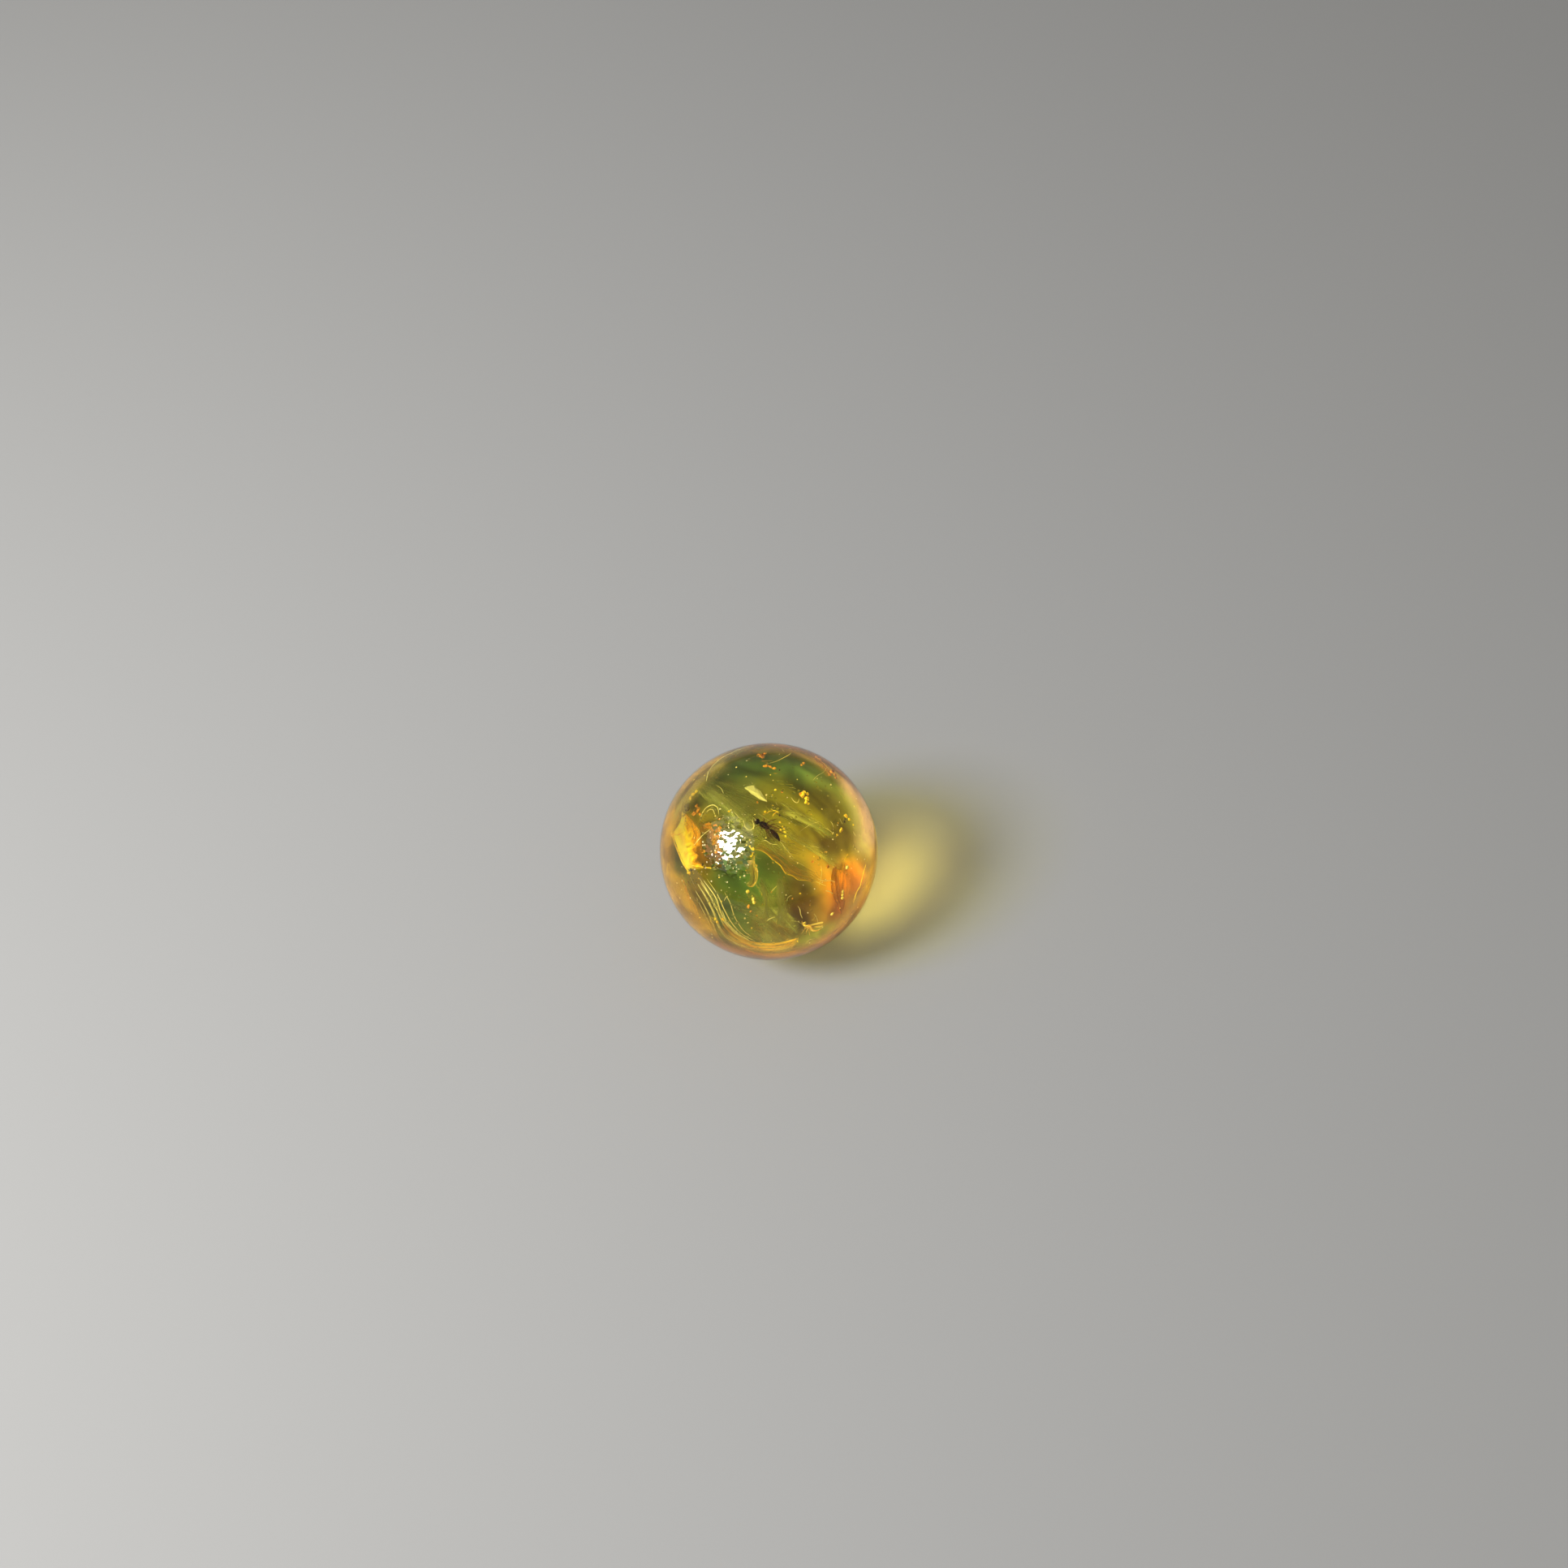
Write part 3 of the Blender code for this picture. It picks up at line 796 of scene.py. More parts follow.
def make_cloudy_bed(material):
    """The cloudy bed behind the insects."""
    values = {"Outside": CUP_OUTSIDE, "Inside": CUP_INSIDE, "Reach": CUP_REACH, "Material": material}
    values.update({"Ripple": 0.04, "Ripples": 2.2, "Seed": 3.0})
    work = bmesh.new()
    work.from_mesh(grow("cup", bpy.data.meshes.new("cup"), cup_tree(), values))
    finish_mesh("cloudy_bed", work, 60, material, "inclusions", "flow_bed")


# Veils: the sharp edge, then the soft border, each as the depths of its two ends and its photo pixels
PALE_VEILS = (
    ((0.64, 0.7, 866, 958, 890, 982, 912, 1000, 930, 1018, 945, 1036, 965, 1048, 992, 1056),
     (0.68, 0.72, 885, 946, 908, 968, 930, 988, 950, 1005, 968, 1022, 988, 1036, 1012, 1050)),
    ((0.46, 0.45, 876, 982, 896, 994, 908, 1008, 915, 1022, 924, 1030),
     (0.5, 0.5, 866, 990, 882, 1004, 892, 1018, 902, 1030, 914, 1038)),
    ((0.66, 0.66, 949, 986, 953, 994, 960, 998, 966, 995, 962, 989),
     (0.67, 0.67, 957, 985, 959, 989, 961, 992, 962, 992, 960, 988)),
    ((0.67, 0.66, 955, 984, 972, 994, 988, 1008, 1006, 1022, 1022, 1036),
     (0.69, 0.68, 962, 980, 984, 990, 1004, 1004, 1022, 1018, 1038, 1036)),
    ((0.68, 0.68, 940, 990, 958, 1002, 978, 1013, 1000, 1021, 1012, 1024),
     (0.7, 0.7, 945, 984, 965, 994, 986, 1004, 1006, 1013, 1018, 1018)),
    ((0.3, 0.36, 872, 964, 876, 950, 886, 939, 902, 930, 922, 922, 942, 918),
     (0.33, 0.39, 880, 966, 884, 953, 893, 943, 908, 934, 926, 927, 942, 923)),
    ((0.56, 0.6, 963, 1082, 966, 1098, 964, 1114, 960, 1130, 962, 1146),
     (0.6, 0.68, 972, 1080, 978, 1096, 980, 1114, 978, 1132, 980, 1148)),
    ((0.52, 0.55, 934, 1078, 940, 1092, 943, 1108, 941, 1122, 933, 1122),
     (0.56, 0.6, 948, 1080, 954, 1098, 955, 1114, 950, 1132, 936, 1136)),
    ((0.46, 0.48, 868, 1084, 880, 1102, 889, 1122, 898, 1137, 912, 1150, 934, 1160),
     (0.48, 0.5, 858, 1090, 866, 1108, 876, 1130, 886, 1146, 900, 1159, 924, 1170)),
)
GOLD_VEILS = (
    ((0.4, 0.46, 926, 1045, 938, 1047, 950, 1057, 962, 1068, 974, 1079, 990, 1085, 1006, 1088),
     (0.48, 0.58, 930, 1034, 946, 1034, 964, 1042, 982, 1052, 998, 1062, 1012, 1072, 1024, 1082)),
    ((0.38, 0.38, 918, 1089, 926, 1092, 932, 1086, 934, 1074, 930, 1062, 926, 1056),
     (0.4, 0.4, 917, 1082, 921, 1083, 923, 1079, 923, 1070, 921, 1063, 919, 1058)),
    ((0.5, 0.5, 822, 1058, 821, 1072, 824, 1088, 830, 1102, 838, 1116),
     (0.52, 0.52, 830, 1056, 830, 1070, 833, 1084, 838, 1096, 844, 1108)),
    ((0.44, 0.47, 866, 1132, 875, 1145, 888, 1160, 905, 1172, 925, 1179),
     (0.46, 0.49, 874, 1128, 883, 1141, 896, 1155, 912, 1166, 930, 1173)),
    ((0.5, 0.5, 996, 1166, 1012, 1160, 1028, 1150, 1042, 1136, 1052, 1120),
     (0.53, 0.53, 992, 1172, 1012, 1168, 1034, 1158, 1050, 1142, 1062, 1122)),
)
BRIGHT_VEILS = (
    ((0.44, 0.42, 889, 1130, 900, 1144, 916, 1154, 936, 1160, 960, 1160, 986, 1153),
     (0.16, 0.15, 880, 1140, 892, 1157, 912, 1168, 938, 1174, 964, 1171, 985, 1161)),
    ((0.3, 0.3, 914, 1166, 936, 1172, 960, 1173, 984, 1168),
     (0.06, 0.06, 914, 1173, 936, 1179, 962, 1180, 986, 1175)),
)
ORANGE_VEILS_AND_GLOW = (
    # The first is painted light: the orange glow of lamplight focused by the ball at its lower right
    ((0.5, 0.52, 1030, 1062, 1024, 1078, 1024, 1096, 1030, 1114, 1038, 1132),
     (0.58, 0.58, 1062, 1056, 1066, 1076, 1064, 1096, 1058, 1116, 1050, 1136)),
    ((0.44, 0.46, 840, 1076, 846, 1092, 854, 1110, 861, 1126, 868, 1142),
     (0.5, 0.52, 820, 1078, 826, 1096, 835, 1114, 846, 1132, 858, 1148)),
    ((0.4, 0.41, 862, 1016, 878, 1014, 888, 1024, 892, 1040, 888, 1056),
     (0.44, 0.44, 856, 1030, 866, 1030, 872, 1036, 874, 1046, 872, 1056)),
    ((0.4, 0.42, 1003, 931, 1012, 938, 1020, 947, 1026, 957),
     (0.43, 0.45, 1000, 936, 1008, 943, 1014, 951, 1019, 960)),
    ((0.4, 0.4, 848, 1098, 851, 1112, 854, 1126, 857, 1138),
     (0.43, 0.43, 838, 1098, 842, 1112, 848, 1126, 855, 1137)),
)
# Painted reflection: the pale band inside the right of the outline, where a pale thing outside shows in the
# surface, drawn as a haze close under it
REFLECTION_BAND_VEILS = (
    ((0.02, 0.03, 1048, 958, 1064, 982, 1074, 1008, 1077, 1036, 1075, 1060),
     (0.34, 0.38, 1018, 952, 1030, 978, 1040, 1006, 1043, 1034, 1038, 1062)),
)
STREAK_VEILS = (
    ((0.4, 0.41, 956, 1078, 955, 1098, 956, 1120, 952, 1144),
     (0.46, 0.46, 968, 1080, 971, 1100, 970, 1122, 966, 1146)),
    ((0.38, 0.38, 932, 1084, 938, 1102, 940, 1120, 934, 1136),
     (0.44, 0.44, 940, 1082, 948, 1102, 949, 1122, 942, 1140)),
    ((0.36, 0.36, 918, 1060, 922, 1072, 923, 1084, 918, 1092),
     (0.42, 0.42, 930, 1056, 934, 1070, 934, 1086, 927, 1094)),
    ((0.48, 0.48, 863, 970, 883, 990, 902, 1008, 920, 1026, 936, 1036),
     (0.54, 0.54, 872, 960, 892, 976, 911, 992, 930, 1010, 946, 1022)),
    ((0.64, 0.64, 960, 1000, 985, 1012, 1010, 1024, 1034, 1040),
     (0.67, 0.67, 966, 988, 990, 998, 1016, 1010, 1040, 1028)),
)
# Crescents along the ball's outline: from and to which angle as seen, how far in they start and end in photo
# pixels, and the depth of their inner border. They are painted light: hazes coloured as the rim light that
# the ball's edge refracts.
OLIVE_ARCS = (
    (112, 166, 9, 30, 0.12),
)
GOLD_ARCS = (
    (104, 172, 1.5, 11, 0.10),
    (150, 205, 1.5, 24, 0.06),
    (188, 240, 1.5, 34, 0.08),
    (322, 400, 1.5, 16, 0.36),
)
RIM_ARCS = (
    (28, 118, 1.5, 9, 0.20),
    (226, 290, 1.5, 20, 0.22),
    (276, 340, 1.5, 22, 0.34),
)


VEIL_HALF_THICKNESS = 0.006 * MM


def placed_veils(table):
    return [(seen_route(*edge), seen_route(*border)) for edge, border in table]


def rim_arcs(arcs):
    """The outer and the inner border of each crescent."""
    veils = []
    for start, end, outset, inset, depth in arcs:
        borders = []
        for distance, deep in ((outset, 0.02), (inset, depth)):
            reach = BALL_SEEN_RADIUS - distance
            pixels = []
            for step in range(7):
                angle = math.radians(start + (end - start) * step / 6)
                pixels.append(BALL_SEEN_AT[0] + reach * math.cos(angle))
                pixels.append(BALL_SEEN_AT[1] - reach * math.sin(angle))
            borders.append(seen_route(deep, deep, *pixels))
        veils.append(borders)
    return veils


def add_veil(work, edge, border, rows, columns, ripple, seed):
    """Adds one rippled and slightly bulged veil between its edge and its border."""
    near = even_route(edge, columns)
    far = even_route(border, columns)
    shift = Vector((seed * 7.3, seed * 3.1, seed * 5.7))
    lines = []
    for column in range(columns):
        line = []
        for row in range(rows):
            across = row / (rows - 1)
            wave = noise.noise(Vector((column / columns * 5.0, across * 4.0, 0.0)) + shift)
            bulge = math.sin(math.pi * across) * 0.6
            line.append(near[column].lerp(far[column], across) + TOWARDS_CAMERA * ripple * (wave + bulge))
        lines.append(line)
    layer = work.loops.layers.uv.get("strip") or work.loops.layers.uv.new("strip")
    add_sheet(work, lines, VEIL_HALF_THICKNESS, TOWARDS_CAMERA, layer)


def make_veils(name, veils, material, ripple, rows=12, columns=44, first_seed=1):
    work = bmesh.new()
    for seed, (edge, border) in enumerate(veils, first_seed):
        add_veil(work, edge, border, rows, columns, ripple, seed)
    finish_mesh(name, work, 70, material, "inclusions")


# Lines: half thickness in millimetres, the depths of both ends and the photo pixels between them
PALE_LINES = (
    (0.05, 0.05, 0.05, 873, 964, 876, 951, 884, 941, 896, 932, 912, 925, 930, 920),
    (0.04, 0.04, 0.04, 902, 930, 909, 925, 917, 922, 925, 919),
    (0.07, 0.42, 0.46, 864, 1086, 876, 1104, 885, 1122, 892, 1133, 903, 1145, 917, 1155, 932, 1162, 958,
     1168),
    (0.05, 0.4, 0.42, 868, 1084, 882, 1104, 889, 1124, 898, 1138, 910, 1150, 926, 1159),
    (0.075, 0.44, 0.47, 860, 1088, 870, 1104, 880, 1124, 886, 1140, 895, 1152, 910, 1162, 930, 1168),
    (0.045, 0.46, 0.48, 857, 1096, 868, 1115, 877, 1134, 884, 1151, 896, 1163),
    (0.045, 0.38, 0.4, 890, 1120, 896, 1134, 908, 1147, 922, 1156),
    (0.028, 0.34, 0.34, 864, 1011, 867, 1002, 872, 995, 880, 992, 886, 996, 887, 1004),
    (0.022, 0.35, 0.35, 870, 1003, 875, 998, 880, 998, 882, 1004),
    (0.03, 0.22, 0.22, 857, 1041, 864, 1033, 870, 1027, 877, 1022),
    (0.028, 0.3, 0.3, 981.5, 1115, 984, 1119, 985, 1125, 987, 1130),
    (0.022, 0.3, 0.3, 1005, 1082, 1013, 1085, 1022, 1085, 1027, 1087),
    (0.02, 0.26, 0.26, 893, 1108, 895, 1104, 898, 1102),
    (0.02, 0.3, 0.3, 990, 1162, 995, 1157, 1002, 1155),
    (0.02, 0.3, 0.3, 944, 1133, 948, 1130, 954, 1128),
    (0.016, 0.36, 0.36, 1002, 963, 1008, 957, 1015, 953, 1019, 947),
    (0.02, 0.36, 0.36, 975, 984, 979, 989, 983, 990, 985, 985),
    (0.02, 0.32, 0.32, 905, 1000, 912, 1008, 918, 1018, 925, 1023, 930, 1018, 927, 1011),
    (0.03, 0.28, 0.28, 1015, 1097, 1020, 1098, 1024, 1101),
    (0.02, 0.3, 0.3, 958, 1041, 950, 1040, 944, 1036, 938, 1037),
    (0.018, 0.34, 0.34, 884, 968, 890, 972, 893, 978),
    (0.03, 0.4, 0.43, 893, 1098, 900, 1112, 905, 1128, 915, 1144, 925, 1152),
    (0.04, 0.41, 0.44, 862, 1080, 873, 1098, 883, 1118, 892, 1138, 906, 1153, 924, 1164),
    (0.035, 0.39, 0.42, 872, 1082, 884, 1100, 893, 1120, 902, 1136, 914, 1149, 930, 1158),
    (0.03, 0.45, 0.47, 858, 1104, 868, 1124, 878, 1144, 890, 1158, 904, 1168),
)
GOLD_LINES = (
    (0.05, 0.36, 0.38, 829, 1025, 832, 1036, 837, 1049, 843, 1063, 850, 1074, 851, 1080),
    (0.035, 0.35, 0.32, 847, 1064, 860, 1066, 874, 1068, 888, 1069),
    (0.045, 0.38, 0.38, 843, 999, 841, 1008, 846, 1018, 846, 1032, 843, 1046),
    (0.03, 0.36, 0.37, 829, 1025, 836, 1027, 842, 1024, 850, 1022),
    (0.03, 0.38, 0.44, 928, 1046, 938, 1048, 946, 1053, 953, 1060, 961, 1066, 968, 1076, 976, 1079, 983,
     1084, 994, 1085),
    (0.03, 0.46, 0.46, 823, 1062, 821, 1076, 823, 1092, 829, 1106),
    (0.04, 0.44, 0.44, 966, 1172, 978, 1173, 990, 1172, 996, 1170),
    (0.03, 0.4, 0.4, 1060, 1090, 1054, 1100, 1050, 1112),
    (0.03, 0.44, 0.44, 1066, 1066, 1062, 1080, 1058, 1096),
    (0.09, 0.02, 0.02, 1075, 1012, 1079, 1030, 1080, 1046, 1079, 1060),
    (0.03, 0.34, 0.34, 945, 1003, 950, 1000, 956, 1000, 960, 1003),
    (0.022, 0.33, 0.33, 952, 1007, 955, 1003, 960, 1001),
)


def tapered(half, points):
    """A smooth line through the points whose half thickness, in millimetres, tapers to both ends."""
    route = smooth_route(points, 8)
    line = []
    for index, place in enumerate(route):
        share = index / (len(route) - 1)
        line.append((place, half * MM * (0.25 + 0.75 * math.sin(math.pi * share) ** 0.6)))
    return line


def make_strands(name, slot, lines, material, tree, sides, unevenness, seed):
    """Grows round strands along lines of (place, half thickness) pairs as one piece."""
    values = {"Sides": sides, "Unevenness": unevenness, "Seed": seed, "Material": material}
    mesh = grow(name, sized_mesh(name + "_routes", "thickness", lines), tree, values)
    mesh.shade_smooth()
    finish_piece(new_object(name, mesh), slot)


def make_grains(name, grains, material, tree, seed, lumpiness, stretch, detail):
    """Grows a lumpy grain for every (place, half size) pair as one piece."""
    values = {"Lumpiness": lumpiness, "Stretch": stretch, "Detail": detail}
    values.update({"Seed": seed, "Material": material})
    mesh = grow(name, sized_mesh(name + "_places", "size", [[grain] for grain in grains]), tree, values)
    finish_piece(new_object(name, mesh), "inclusions")


# Grains: photo pixel, depth and half size in photo pixels
GOLD_GRAINS = (
    (989, 981, 0.33, 3.4), (994, 985, 0.33, 3.0), (993, 990, 0.33, 2.6), (991, 978, 0.33, 2.4),
    (995, 980, 0.33, 2.2), (996, 992, 0.33, 1.6), (855, 978, 0.34, 3.2), (859, 975, 0.34, 2.4),
    (852, 983, 0.34, 2.4), (1041, 1007, 0.3, 3.0), (1045, 1011, 0.3, 2.0), (842, 1002, 0.36, 2.6),
    (829.5, 1026, 0.36, 2.8), (850, 1074, 0.36, 2.2), (881, 1130, 0.36, 2.2), (884, 1134, 0.36, 2.0),
    (891, 1131, 0.36, 2.4), (928, 1046, 0.34, 2.0), (956, 975, 0.25, 1.6), (1035, 1024, 0.3, 2.8),
    (1030, 1030, 0.3, 1.6), (1050, 1018, 0.3, 1.4), (961, 1014, 0.32, 1.6), (964, 1019, 0.32, 1.5),
    (967, 1026, 0.32, 1.4), (962, 1023, 0.32, 1.3), (968, 1031, 0.32, 1.2), (966, 1022, 0.32, 1.1),
)
ORANGE_GRAINS = (
    (938, 932, 0.34, 3.0), (943, 930, 0.34, 2.6), (941, 934, 0.34, 1.8), (945, 945, 0.34, 2.6),
    (950, 946, 0.34, 2.6), (955, 948, 0.34, 2.0), (991, 942, 0.34, 2.4), (988, 944, 0.34, 1.6),
    (1026, 952, 0.34, 3.4), (1023, 956, 0.34, 2.4), (1029, 956, 0.34, 2.2), (1007, 934, 0.34, 2.2),
    (1011, 937, 0.34, 2.0), (860, 993, 0.34, 2.6), (862, 998, 0.34, 3.0), (857, 1002, 0.34, 2.4),
    (864, 1003, 0.34, 1.8), (1030, 960, 0.34, 1.6), (925, 1121, 0.26, 1.6), (922, 1115, 0.28, 2.2),
    (884, 1050, 0.2, 1.6), (868, 1049, 0.2, 1.6), (987, 980, 0.33, 2.4), (1018, 1068, 0.3, 2.0),
    (1000, 1062, 0.3, 1.6),
)
# The largest, on the right below the middle, is painted highlight: a pale solid grain for the bright glint of
# a bubble.
BRIGHT_GRAINS = (
    (921.5, 1097, 0.3, 3.0), (928, 1106, 0.3, 3.2), (929, 1110, 0.3, 3.0), (1036, 1098, 0.22, 2.6),
    (1035.5, 1102, 0.22, 2.8), (1035.5, 1106, 0.22, 2.4), (1023, 1125, 0.22, 2.8), (1041, 1069, 0.14, 3.6),
    (989.5, 1135.5, 0.22, 2.4),
)
DARK_GRAINS = (
    (847, 992, 0.36, 4.0), (848, 996, 0.36, 3.0), (961, 950.5, 0.3, 1.5), (1040, 1011, 0.29, 2.2),
    (1039, 1014, 0.29, 1.8), (964, 976, 0.32, 1.5), (1026, 1014, 0.3, 1.0), (891, 977, 0.34, 1.6),
    (853, 1070, 0.34, 2.0), (867, 1064, 0.32, 2.2), (894, 1108, 0.27, 1.0),
)


# Bright specks close under the surface: photo pixels
SPECK_DEPTH = 0.012
SPECKS = (
    (982.0, 963.6), (1010.9, 999.5), (953.2, 964.6), (956.1, 919.9), (921.3, 959.7), (903.4, 999.5),
    (884.5, 1006.4), (925.3, 1035.3), (921.3, 1041.2), (972.1, 1055.2), (981.0, 1063.1), (1033.7, 1048.2),
    (1050.7, 1047.2), (989.0, 1043.2), (949.2, 1155.6), (959.1, 1146.7), (877.6, 1152.7), (863.6, 1127.8),
    (888.5, 1079.0), (913.4, 1079.0), (1031.8, 1117.8), (1010.9, 1140.7), (1046.7, 1125.8), (1050.7, 995.5),
    (857.7, 961.6), (870.6, 956.7), (909.4, 947.7), (1007.9, 1021.3), (931.3, 1005.4), (944.0, 1033.0),
    (1023.0, 1029.0),
)


# What is strewn at random: how many of each, and how the crumbs are shared out
DUST_COUNT = 340
# White specks round the scuffed patch, painted glints of the highlight
SCUFF_GLINT_SPECK_COUNT = 130
GOLD_CRUMB_COUNT = 26
ORANGE_CRUMB_COUNT = 16
DARK_CRUMB_COUNT = 6
HAIR_COUNT = 36
LOOSE_VEIL_COUNT = 16


def placed_lines(table):
    return [tapered(half, seen_route(*route)) for half, *route in table]


def placed_grains(table):
    return [(seen(x, y, depth), half * INSIDE_PER_PIXEL) for x, y, depth, half in table]


def placed_specks():
    chance = random.Random(66)
    return [(seen(x, y, SPECK_DEPTH), chance.uniform(0.04, 0.075) * MM) for x, y in SPECKS]


def random_direction(chance):
    while True:
        arrow = Vector((chance.uniform(-1, 1) for _ in range(3)))
        if 0.05 < arrow.length < 1.0:
            return arrow.normalized()


def make_scatter(materials, trees):
    """Dust, bubbles, crumbs and hairs strewn through the ball, more of them close under its surface, and
    white specks gathered round the scuffed patch as painted glints of the highlight."""
    chance = random.Random(4127)
    dust_and_glint_specks = []
    for _ in range(DUST_COUNT):
        arrow = random_direction(chance)
        deep = chance.uniform(0.90, 0.986) if chance.random() < 0.7 else chance.uniform(0.3, 0.9)
        dust_and_glint_specks.append((CENTRE + arrow * deep * BALL_RADIUS, (0.014 + 0.048 * chance.random() ** 3) * MM))
    # Painted highlight: white specks gathered round the scuffed patch, as glints that break up the highlight
    for _ in range(SCUFF_GLINT_SPECK_COUNT):
        x, y = chance.gauss(899, 17), chance.gauss(1046, 22)
        dust_and_glint_specks.append((seen(x, y, chance.uniform(0.006, 0.02)), (0.02 + 0.07 * chance.random() ** 2) * MM))
    make_grains("dust_and_glint_specks", dust_and_glint_specks, materials["dust_and_glint_specks"], trees["grains"], 3, 0.3, 0.2, 1)
    crumbs = []
    for _ in range(GOLD_CRUMB_COUNT + ORANGE_CRUMB_COUNT + DARK_CRUMB_COUNT):
        arrow = random_direction(chance)
        place = CENTRE + arrow * chance.uniform(0.25, 0.72) * BALL_RADIUS
        crumbs.append((place, chance.uniform(0.018, 0.055) * MM))
    gold = crumbs[:GOLD_CRUMB_COUNT]
    orange = crumbs[GOLD_CRUMB_COUNT:-DARK_CRUMB_COUNT]
    dark = crumbs[-DARK_CRUMB_COUNT:]
    make_grains("gold_crumbs", gold, materials["gold"], trees["grains"], 5, 2.0, 0.4, 3)
    make_grains("orange_crumbs", orange, materials["orange"], trees["grains"], 6, 2.0, 0.4, 3)
    make_grains("dark_crumbs", dark, materials["dark"], trees["grains"], 7, 1.8, 0.4, 3)
    hairs = []
    for _ in range(HAIR_COUNT):
        start = CENTRE + random_direction(chance) * chance.uniform(0.2, 0.75) * BALL_RADIUS
        run = (FLOW * chance.choice((-1, 1)) + random_direction(chance) * 0.8).normalized()
        bow = random_direction(chance)
        length = chance.uniform(0.3, 1.1) * MM
        points = [start + run * length * t + bow * length * 0.5 * t * t for t in (0.0, 0.4, 0.75, 1.0)]
        hairs.append(tapered(chance.uniform(0.006, 0.014), points))
    make_strands("hairs", "inclusions", hairs, materials["pale"], trees["strands"], 6, 0.5, 9.0)


def loose_veils():
    """Thin veils all through the ball that lie along the flow, as seen from its other sides."""
    chance = random.Random(811)
    veils = []
    for _ in range(LOOSE_VEIL_COUNT):
        middle = random_direction(chance) * chance.uniform(0.30, 0.55) * BALL_RADIUS
        middle -= TOWARDS_CAMERA * (middle.dot(TOWARDS_CAMERA) + chance.uniform(0.30, 0.46) * BALL_RADIUS)
        run = (FLOW + random_direction(chance) * 0.35).normalized()
        side = (TOWARDS_CAMERA * chance.uniform(-0.6, 0.6) + FLOW_ACROSS).normalized()
        length = chance.uniform(1.6, 3.8) * MM
        width = chance.uniform(0.4, 1.3) * MM
        bow = chance.uniform(-0.5, 0.5) * length
        edge, border = [], []
        for t in (-1.0, -0.5, 0.0, 0.5, 1.0):
            spine = CENTRE + middle + run * t * length * 0.5 + side * bow * 0.3 * t * t
            edge.append(spine)
            border.append(spine + side * width * (1.0 - 0.3 * t * t) + TOWARDS_CAMERA * width * 0.3)
        veils.append((edge, border))
    return veils


# The fracture at the left

FRACTURE_EDGE = (0.37, 0.38, 841, 1000, 838, 1012, 831, 1026, 835, 1042, 841, 1058, 849, 1072)
FRACTURE_BORDER = (0.35, 0.34, 845, 1000, 856, 1012, 864, 1024, 865, 1040, 866, 1054, 876, 1069)


def make_fracture(material):
    work = bmesh.new()
    add_veil(work, seen_route(*FRACTURE_EDGE), seen_route(*FRACTURE_BORDER), 60, 90, 0.05 * MM, 3)
    for vertex in work.verts:
        facets = noise.voronoi(vertex.co * 1100.0)[0][0]
        creases = noise.fractal(vertex.co * 900.0, 0.9, 2.1, 3)
        vertex.co += TOWARDS_CAMERA * (facets * 0.10 + creases * 0.08) * MM
    finish_mesh("fracture", work, 40, material, "inclusions")


def fracture_material():
    """Crinkled sheet that flashes yellow and orange."""
    material, tree, shader = principled("fracture glints", (1.0, 0.8, 0.1), 0.3)
    along, across = strip_place(tree)
    patches = cloud(tree, object_place(tree), 620.0, 3.0, 1.8)

    def ragged(low, high, inward, outward):
        return sums(tree, "ADD", across, mapped(tree, patches, low, high, inward, outward))

    to_right = mapped(tree, ragged(0.3, 0.7, -0.25, 0.25), 0.2, 0.8)
    tint = mixed(tree, to_right, (1.0, 0.95, 0.10), (0.90, 0.44, 0.02))
    dark = mapped(tree, patches, 0.34, 0.48, 0.6, 0.0)
    fade = mapped(tree, ragged(0.3, 0.7, -0.3, 0.3), 0.45, 1.0, 1.0, 0.0)
    torn = mapped(tree, ragged(0.35, 0.55, -0.10, 0.05), 0.0, 0.04)
    holes = mapped(tree, patches, 0.34, 0.46, 0.45, 1.0)
    feed(tree, shader, {
        "Base Color": mixed(tree, dark, tint, (0.66, 0.30, 0.02)),
        "Alpha": product(tree, fade, torn, faded_ends(tree, along, 0.08), holes),
        "Normal": bump(tree, patches, 0.6, 0.4 * MM),
        "Roughness": mapped(tree, patches, 0.3, 0.7, 0.35, 0.15),
    })
    return material


# The dark insect

INSECT_PLACE = Vector((0.0, 1.95 * MM, SEAL_HEIGHT))
INSECT_HEADING = math.radians(137)
INSECT_BEND = 0.19
INSECT_DROOP = 0.10
# Its body from tail to head: place along it, half its width, half its height
INSECT_BODY = (
    (-0.87, 0.014, 0.014), (-0.80, 0.038, 0.040), (-0.68, 0.074, 0.078), (-0.52, 0.103, 0.108),
    (-0.36, 0.110, 0.116), (-0.22, 0.092, 0.096), (-0.12, 0.050, 0.052), (-0.07, 0.023, 0.024),
    (-0.03, 0.023, 0.024), (0.03, 0.052, 0.056), (0.10, 0.090, 0.104), (0.22, 0.122, 0.142),
    (0.36, 0.128, 0.152), (0.46, 0.108, 0.124), (0.53, 0.060, 0.068), (0.565, 0.036, 0.040),
    (0.60, 0.082, 0.078), (0.66, 0.134, 0.116), (0.72, 0.126, 0.108), (0.78, 0.072, 0.064),
    (0.80, 0.030, 0.028),
)
GNAT_PLACE = Vector((2.62 * MM, -5.36 * MM, SEAL_HEIGHT))
